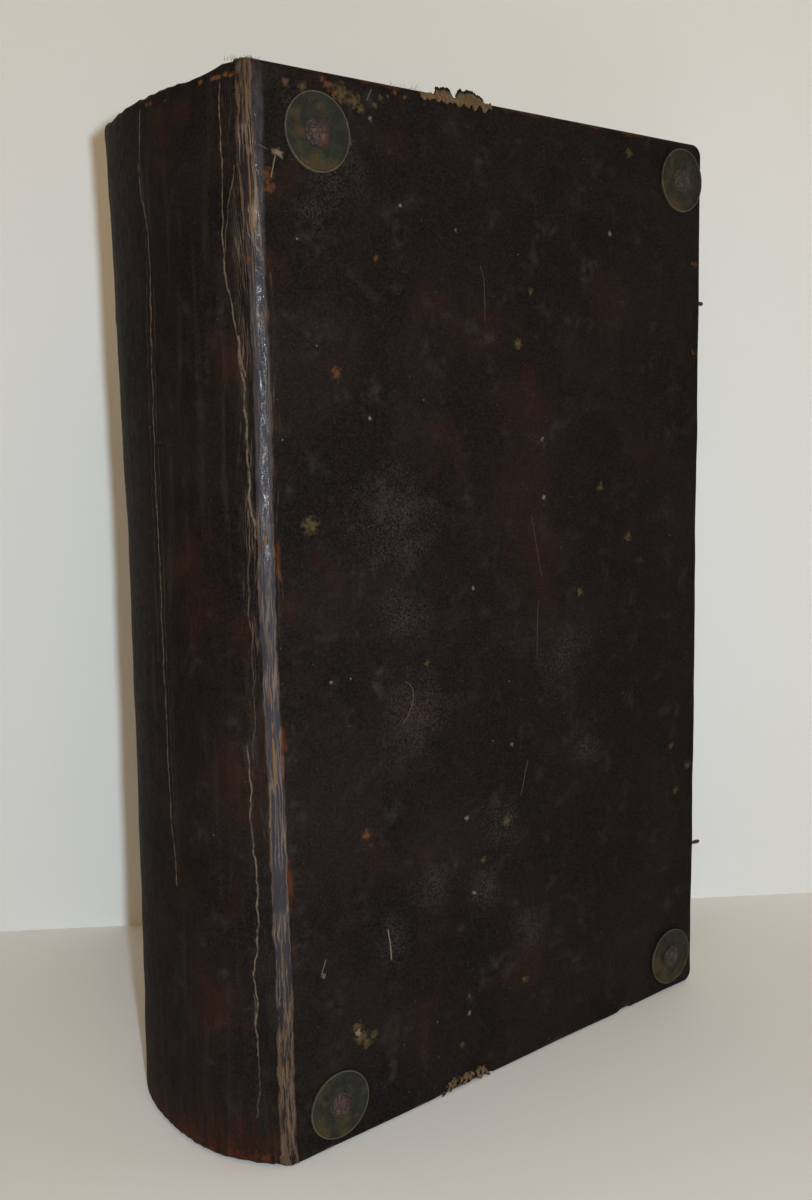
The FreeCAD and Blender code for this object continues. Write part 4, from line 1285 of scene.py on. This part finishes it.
class BOOK_OT_endbands(Operator):
    """Endbands: a core wound with thread at the head and tail of the leaves"""

    bl_idname = "book.endbands"
    bl_label = "Endbands"

    def execute(self, context):
        """Each is a tube along the back's curve, whose radius swells at every turn of thread."""
        sizes, colours = context.scene.book_sizes, context.scene.book_colours
        material = thread_material("linen thread", colours)
        for name in ("head_endband", "tail_endband"):
            low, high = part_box(name)
            radius, z = (high.z - low.z) / 2, (high.z + low.z) / 2
            y = np.linspace(low.y + 0.5 * MM, high.y - 0.5 * MM, 640)
            level = np.full_like(y, z)
            x = JOINT_X + back_x(y, level) + 1.5 * MM + radius
            run = np.concatenate([[0], np.cumsum(np.hypot(np.diff(x), np.diff(y)))])
            turn = np.abs(np.cos(np.pi * run / sizes.thread_pitch))
            tangent = np.stack([np.gradient(x), np.gradient(y)], axis=1)
            tangent /= np.linalg.norm(tangent, axis=1)[:, None]
            end = np.sqrt(np.clip(1 - (np.abs(np.linspace(-1, 1, len(y))) ** 40), 0.02, 1))
            size = radius * (0.9 + 0.1 * (1 - turn**2)) * end
            angle = np.linspace(0, 2 * np.pi, 14, endpoint=False)
            out = np.cos(angle)[None, :] * size[:, None]
            up = np.sin(angle)[None, :] * size[:, None]
            points = np.stack([
                x[:, None] - tangent[:, 1:2] * out, y[:, None] + tangent[:, :1] * out, z + up,
            ], axis=-1)
            # crest is 1 on each turn's top and 0 in the grooves, where the thread's finish paints shade.
            crest = np.broadcast_to((1 - turn**2)[:, None], out.shape)
            faces = [grid_faces(*out.shape, close_rows=True)[:, ::-1]]
            faces += [[np.arange(14)], [np.arange(14)[::-1] + (len(y) - 1) * 14]]
            piece = add_piece(f"{name}_wound", points, faces, material, values={"crest": crest})
            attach(piece, "book_block")
            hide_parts(name)
        return {"FINISHED"}


class BOOK_OT_endpapers(Operator):
    """Papers pasted inside the boards, and the folds that carry them over to the leaves"""

    bl_idname = "book.endpapers"
    bl_label = "Endpapers"

    def execute(self, context):
        """The pasted leaf is a grid with slow waves; the fold is a folded strip in the joint."""
        colours = context.scene.book_colours
        material = paper_material("rag paper, endleaf", colours, False)
        for side, sign in SIDES.items():
            low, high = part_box(f"{side}_pastedown")
            x, z = np.meshgrid(
                np.linspace(low.x, high.x, 90), np.linspace(low.z, high.z, 130), indexing="ij"
            )
            flat = np.stack([x, z + (0.6 if sign > 0 else 0)], axis=-1)
            y = np.full_like(x, min(abs(low.y), abs(high.y)))
            y = y + (0.05 + 0.05 * np.clip(ripple(flat, 50 * MM, 21), -1, 1)) * MM
            faces = grid_faces(*x.shape)
            faces = faces if sign > 0 else faces[:, ::-1]
            points = np.stack([x, sign * y, z], axis=-1)
            piece = add_piece(f"{side}_endpaper", points, [faces], material)
            thicken(piece, 0.15 * MM)
            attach(piece, f"{side}_cover")
            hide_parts(f"{side}_pastedown")

            block_x, board_x = JOINT_X - 0.11 * MM, JOINT_X + 0.11 * MM
            deep = HALF - 3.4 * MM
            fold = np.linspace(0, np.pi, 7)
            middle = (block_x + board_x) / 2
            path = np.concatenate([
                np.stack([np.full(14, block_x), np.linspace(BLOCK_SIDE, deep, 14)], axis=1),
                np.stack([middle - 0.11 * MM * np.cos(fold), deep + 0.11 * MM * np.sin(fold)], 1),
                np.stack([np.full(14, board_x), np.linspace(deep, y.min() + 0.1 * MM, 14)], 1),
            ])
            rise = np.linspace(BLOCK_LOW.z + MM, BLOCK_HIGH.z - MM, 40)
            points = np.stack(np.broadcast_arrays(
                path[:, :1], sign * path[:, 1:2], rise[None, :]), axis=-1)
            faces = grid_faces(len(path), len(rise))
            faces = faces[:, ::-1] if sign < 0 else faces
            strip = add_piece(f"{side}_endpaper_fold", points, [faces], material)
            thicken(strip, 0.04 * MM, 0.0)
            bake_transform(strip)
        return {"FINISHED"}


def lathe(profile_points, segments, centre, sign, dent):
    """Turned form: a section of (radius, height) carried round an axis along y.

    dent gives how far each point is pushed in, as a function of its place.
    """
    angle = np.linspace(0, 2 * np.pi, segments, endpoint=False)[:, None]
    radius, height = profile_points[:, 0][None, :], profile_points[:, 1][None, :]
    x, z = centre.x + radius * np.cos(angle), centre.z + radius * np.sin(angle)
    y = np.broadcast_to(sign * (HALF + height), x.shape)
    points = np.stack([x, y, z], axis=-1)
    points[..., 1] -= sign * dent(points, radius, height)
    faces = grid_faces(*x.shape, close_columns=True)
    return points, faces if sign < 0 else faces[:, ::-1]


def disc_section(low_radius, radius, plate, rim_rise):
    """Section of a disc: up its outer edge, over the raised rim, in over the plate."""
    rim = np.linspace(np.pi * 0.15, np.pi, 9)
    top = plate + rim_rise
    rim_x = radius - 0.45 * MM + 0.45 * MM * np.cos(rim)
    rim_y = plate - 0.05 * MM + (top - plate + 0.05 * MM) * np.sin(rim)
    inward = np.linspace(radius - 0.95 * MM, low_radius, 22)
    return np.concatenate([
        [[radius, 0.02 * MM], [radius, plate * 0.6]],
        np.stack([rim_x, rim_y], axis=1),
        np.stack([inward, np.full_like(inward, plate - 0.05 * MM)], axis=1),
        [[low_radius, 0.02 * MM]],
    ])


class BOOK_OT_discs(Operator):
    """Corner discs and the nails that hold them"""

    bl_idname = "book.discs"
    bl_label = "Discs and nails"

    def execute(self, context):
        """Discs and nail heads are turned forms, pitted and knocked out of true."""
        colours = context.scene.book_colours
        brass, rust = brass_material("tarnished brass", colours), rust_material(
            "rusted iron", colours
        )
        for side, sign in SIDES.items():
            for corner in CORNERS:
                low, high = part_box(f"{side}_{corner}_disc")
                centre, radius = (low + high) / 2, (high.x - low.x) / 2
                section = disc_section(1.6 * MM, radius, 0.6 * MM, 0.3 * MM)

                def disc_dent(points, r, height):
                    worn = ripple(points, 9 * MM, 31) * 0.05 * MM + ripple(points, 2 * MM, 32) * 0.03 * MM
                    return np.clip(0.06 * MM + worn, 0, 0.3 * MM) * (height > 0.3 * MM)

                points, faces = lathe(section, 96, centre, sign, disc_dent)
                # Crest of the disc's raised rim, where the finish lays a pale painted highlight.
                rim = np.exp(-(((section[:, 0] - radius + 0.4 * MM) / (0.22 * MM)) ** 2))
                lean = ((centre.x - points[..., 0]) * 0.6 + (centre.z - points[..., 2]) * 0.8) / radius
                values = {"rim": np.broadcast_to(rim[None, :], points.shape[:2]), "lean": lean}
                piece = add_piece(f"{side}_{corner}_plate", points, [faces], brass, values=values)
                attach(piece, f"{side}_cover")
                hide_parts(f"{side}_{corner}_disc")

                low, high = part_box(f"{side}_{corner}_nail")
                head = (high.x - low.x) / 2
                top = max(abs(low.y), abs(high.y)) - HALF
                share = np.linspace(1, 0.02, 20)
                dome = 0.6 * MM + (top - 0.6 * MM) * (1 - share**2.3)
                section = np.concatenate([
                    [[head * 0.97, 0.45 * MM]], np.stack([head * share, dome], axis=1),
                ])

                def nail_dent(points, r, height):
                    worn = ripple(points, 4 * MM, 33) * 0.16 * MM + ripple(points, 1.5 * MM, 34) * 0.09 * MM
                    return np.clip(0.2 * MM + worn, 0, 0.9 * MM) * (height > 0.7 * MM)

                points, faces = lathe(section, 56, centre, sign, nail_dent)
                cap = [np.arange(56) * len(section) + len(section) - 1]
                cap = cap if sign < 0 else [cap[0][::-1]]
                lean = ((points[..., 0] - centre.x) * 0.7 + (centre.z - points[..., 2]) * 0.7) / head
                values = {"lean": lean}
                piece = add_piece(
                    f"{side}_{corner}_nailhead", points, [faces, cap], rust, values=values
                )
                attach(piece, f"{side}_cover")
                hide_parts(f"{side}_{corner}_nail")
        return {"FINISHED"}


def tube(path, radii, sides):
    """Closed tube along a path: rings across the path's direction, capped at both ends."""
    tangent = np.gradient(path, axis=0)
    tangent /= np.linalg.norm(tangent, axis=1)[:, None]
    first = np.cross(tangent, [0.0, 0.0, 1.0])
    first /= np.linalg.norm(first, axis=1)[:, None]
    second = np.cross(tangent, first)
    angle = np.linspace(0, 2 * np.pi, sides, endpoint=False)[None, :, None]
    ring = first[:, None] * np.cos(angle) + second[:, None] * np.sin(angle)
    points = path[:, None] + ring * np.asarray(radii)[:, None, None]
    last = (len(path) - 1) * sides
    faces = [grid_faces(len(path), sides, close_rows=True)]
    faces += [[np.arange(sides)[::-1]], [np.arange(sides) + last]]
    return points, faces


class BOOK_OT_clasps(Operator):
    """Broken ends of the two clasps at the front cover's fore-edge"""

    bl_idname = "book.clasps"
    bl_label = "Clasp stubs"

    def execute(self, context):
        """Each is a wire that thins, bends down and ends in a torn knob."""
        rust = rust_material("black rusted iron", context.scene.book_colours)
        for name, droop in (("upper_clasp_stub", 0.9), ("lower_clasp_stub", 0.5)):
            low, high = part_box(name)
            y, z, radius = (low.y + high.y) / 2, (low.z + high.z) / 2, (high.z - low.z) / 2
            share = np.linspace(0, 1, 26)
            x = low.x + (high.x - low.x - 0.4 * MM) * share
            bend = smoothstep(share, 0.62, 1.0) * droop * MM
            path = np.stack([x, y + 0 * x, z - bend], axis=1)
            uneven = 1 + 0.1 * ripple(path, 3 * MM, 41)
            size = radius * (
                1 - 0.4 * smoothstep(share, 0.6, 0.9) + 0.3 * smoothstep(share, 0.93, 1)
            )
            size = size * uneven * np.where(share > 0.99, 0.6, 1.0)
            points, faces = tube(path, np.minimum(size, radius), 12)
            piece = add_piece(f"{name}_wire", points, faces, rust)
            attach(piece, "front_cover")
            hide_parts(name)
        return {"FINISHED"}


class BOOK_OT_stage(Operator):
    """Table, wall, lamps and camera"""

    bl_idname = "book.stage"
    bl_label = "Stage"

    def execute(self, context):
        studio = context.scene.book_studio
        scene = context.scene
        scene.view_settings.view_transform = "Standard"

        def matt(name, paint):
            def build(tree):
                where = node(tree, "ShaderNodeTexCoord").outputs["Object"]
                cloud = patches(tree, where, 0.5, 0.2, 0.8, detail=2.0)
                shade = tuple(c * 0.97 for c in paint)
                ground = coats(tree, paint, [(shade, cloud)])
                links = {"Base Color": ground, "Roughness": 0.9, "Specular IOR Level": 0.1}
                return node(tree, "ShaderNodeBsdfPrincipled", links)

            return finish_material(name, build)

        def one_sided(name, paint):
            material = matt(name, paint)
            tree = material.node_tree
            output = next(n for n in tree.nodes if n.type == "OUTPUT_MATERIAL")
            surface = next(n for n in tree.nodes if n.type == "BSDF_PRINCIPLED")
            behind = node(tree, "ShaderNodeNewGeometry").outputs["Backfacing"]
            clear = node(tree, "ShaderNodeBsdfTransparent")
            mixed = node(tree, "ShaderNodeMixShader", {0: behind, 1: surface, 2: clear})
            tree.links.new(mixed.outputs[0], output.inputs["Surface"])
            return material

        reach = TABLE_REACH
        floor_points = np.array(
            [[-reach, -reach, 0], [reach, -reach, 0], [reach, reach, 0], [-reach, reach, 0]]
        )
        floor = add_piece(
            "floor", floor_points, [[[0, 1, 2, 3]]], matt("table top", tuple(studio.floor))
        )
        left, right = np.array(WALL_LEFT), np.array(WALL_RIGHT)
        along = (right - left) / np.linalg.norm(right - left)
        ends = [left - along * WALL_REACH, left + along * WALL_REACH]
        wall_points = np.array([
            [*ends[0], 0], [*ends[1], 0], [*ends[1], WALL_HEIGHT], [*ends[0], WALL_HEIGHT],
        ])
        wall = add_piece(
            "wall", wall_points, [[[0, 1, 2, 3]]], one_sided("wall paint", tuple(studio.wall))
        )

        camera_data = bpy.data.cameras.new("camera")
        camera_data.sensor_width, camera_data.lens = SENSOR, LENS
        camera = bpy.data.objects.new("camera", camera_data)
        turn = Matrix((CAMERA_RIGHT, CAMERA_UP, -CAMERA_LOOK)).transposed()
        camera.matrix_world = Matrix.Translation(CAMERA_PLACE) @ turn.to_4x4()
        camera_data.clip_start, camera_data.clip_end = 0.01, 30.0
        scene.collection.objects.link(camera)
        scene.camera = camera

        def lamp(name, where, target, size, power, tone):
            data = bpy.data.lights.new(name, "AREA")
            data.shape, data.size, data.energy, data.color = "DISK", size, power, tone
            item = bpy.data.objects.new(name, data)
            item.location = where
            item.rotation_euler = (Vector(target) - Vector(where)).to_track_quat("-Z", "Y").to_euler()
            scene.collection.objects.link(item)

        head_corner = Vector((-0.127, 0.02, 0.397))
        beside = CAMERA_PLACE + CAMERA_RIGHT * 0.025 + CAMERA_UP * 0.02
        key = head_corner + (beside - head_corner).normalized() * 0.75
        cool, warm = (0.72, 0.87, 1.0), (1.0, 0.8, 0.52)
        lamp("key", key, (0.0, 0.0, 0.2), 0.024, studio.key_power, cool)
        lamp("fill", (-0.6, -1.5, 1.7), (0, 0, 0.2), 1.2, studio.fill_power, warm)
        lamp("back fill", (1.3, 1.3, 1.2), (0, 0, 0.2), 1.0, studio.fill_power * 1.7, cool)
        lamp("side fill", (1.6, -1.2, 1.2), (0, 0, 0.2), 1.0, studio.fill_power * 0.5, cool)

        world = bpy.data.worlds.new("room")
        world.use_nodes = True
        scene.world = world
        background = next(n for n in world.node_tree.nodes if n.type == "BACKGROUND")
        background.inputs["Color"].default_value = (*studio.world, 1.0)
        background.inputs["Strength"].default_value = 1.0
        return {"FINISHED"}


OPERATORS = (
    BOOK_OT_stage, BOOK_OT_leather, BOOK_OT_leaves, BOOK_OT_lining, BOOK_OT_endbands,
    BOOK_OT_endpapers, BOOK_OT_discs, BOOK_OT_clasps, BOOK_OT_tears,
)


class BOOK_PT_panel(Panel):
    """Lists the book's operators and its sizes"""

    bl_idname = "BOOK_PT_panel"
    bl_label = "Antique leather book"
    bl_space_type = "VIEW_3D"
    bl_region_type = "UI"
    bl_category = "Book"

    def draw(self, context):
        for operator in OPERATORS:
            self.layout.operator(operator.bl_idname)
        for group in ("book_sizes", "book_colours", "book_studio"):
            values = getattr(context.scene, group)
            box = self.layout.box()
            for name in values.__annotations__:
                box.prop(values, name)


GROUPS = {"book_sizes": BookSizes, "book_colours": BookColours, "book_studio": BookStudio}


def register():
    for item in (*GROUPS.values(), *OPERATORS, BOOK_PT_panel):
        bpy.utils.register_class(item)
    for name, group in GROUPS.items():
        setattr(bpy.types.Scene, name, PointerProperty(type=group))


def unregister():
    for name in GROUPS:
        delattr(bpy.types.Scene, name)
    for item in (BOOK_PT_panel, *reversed(OPERATORS), *GROUPS.values()):
        bpy.utils.unregister_class(item)


def main():
    register()
    for operator in OPERATORS:
        group, name = operator.bl_idname.split(".")
        getattr(getattr(bpy.ops, group), name)()


if __name__ == "__main__":
    main()
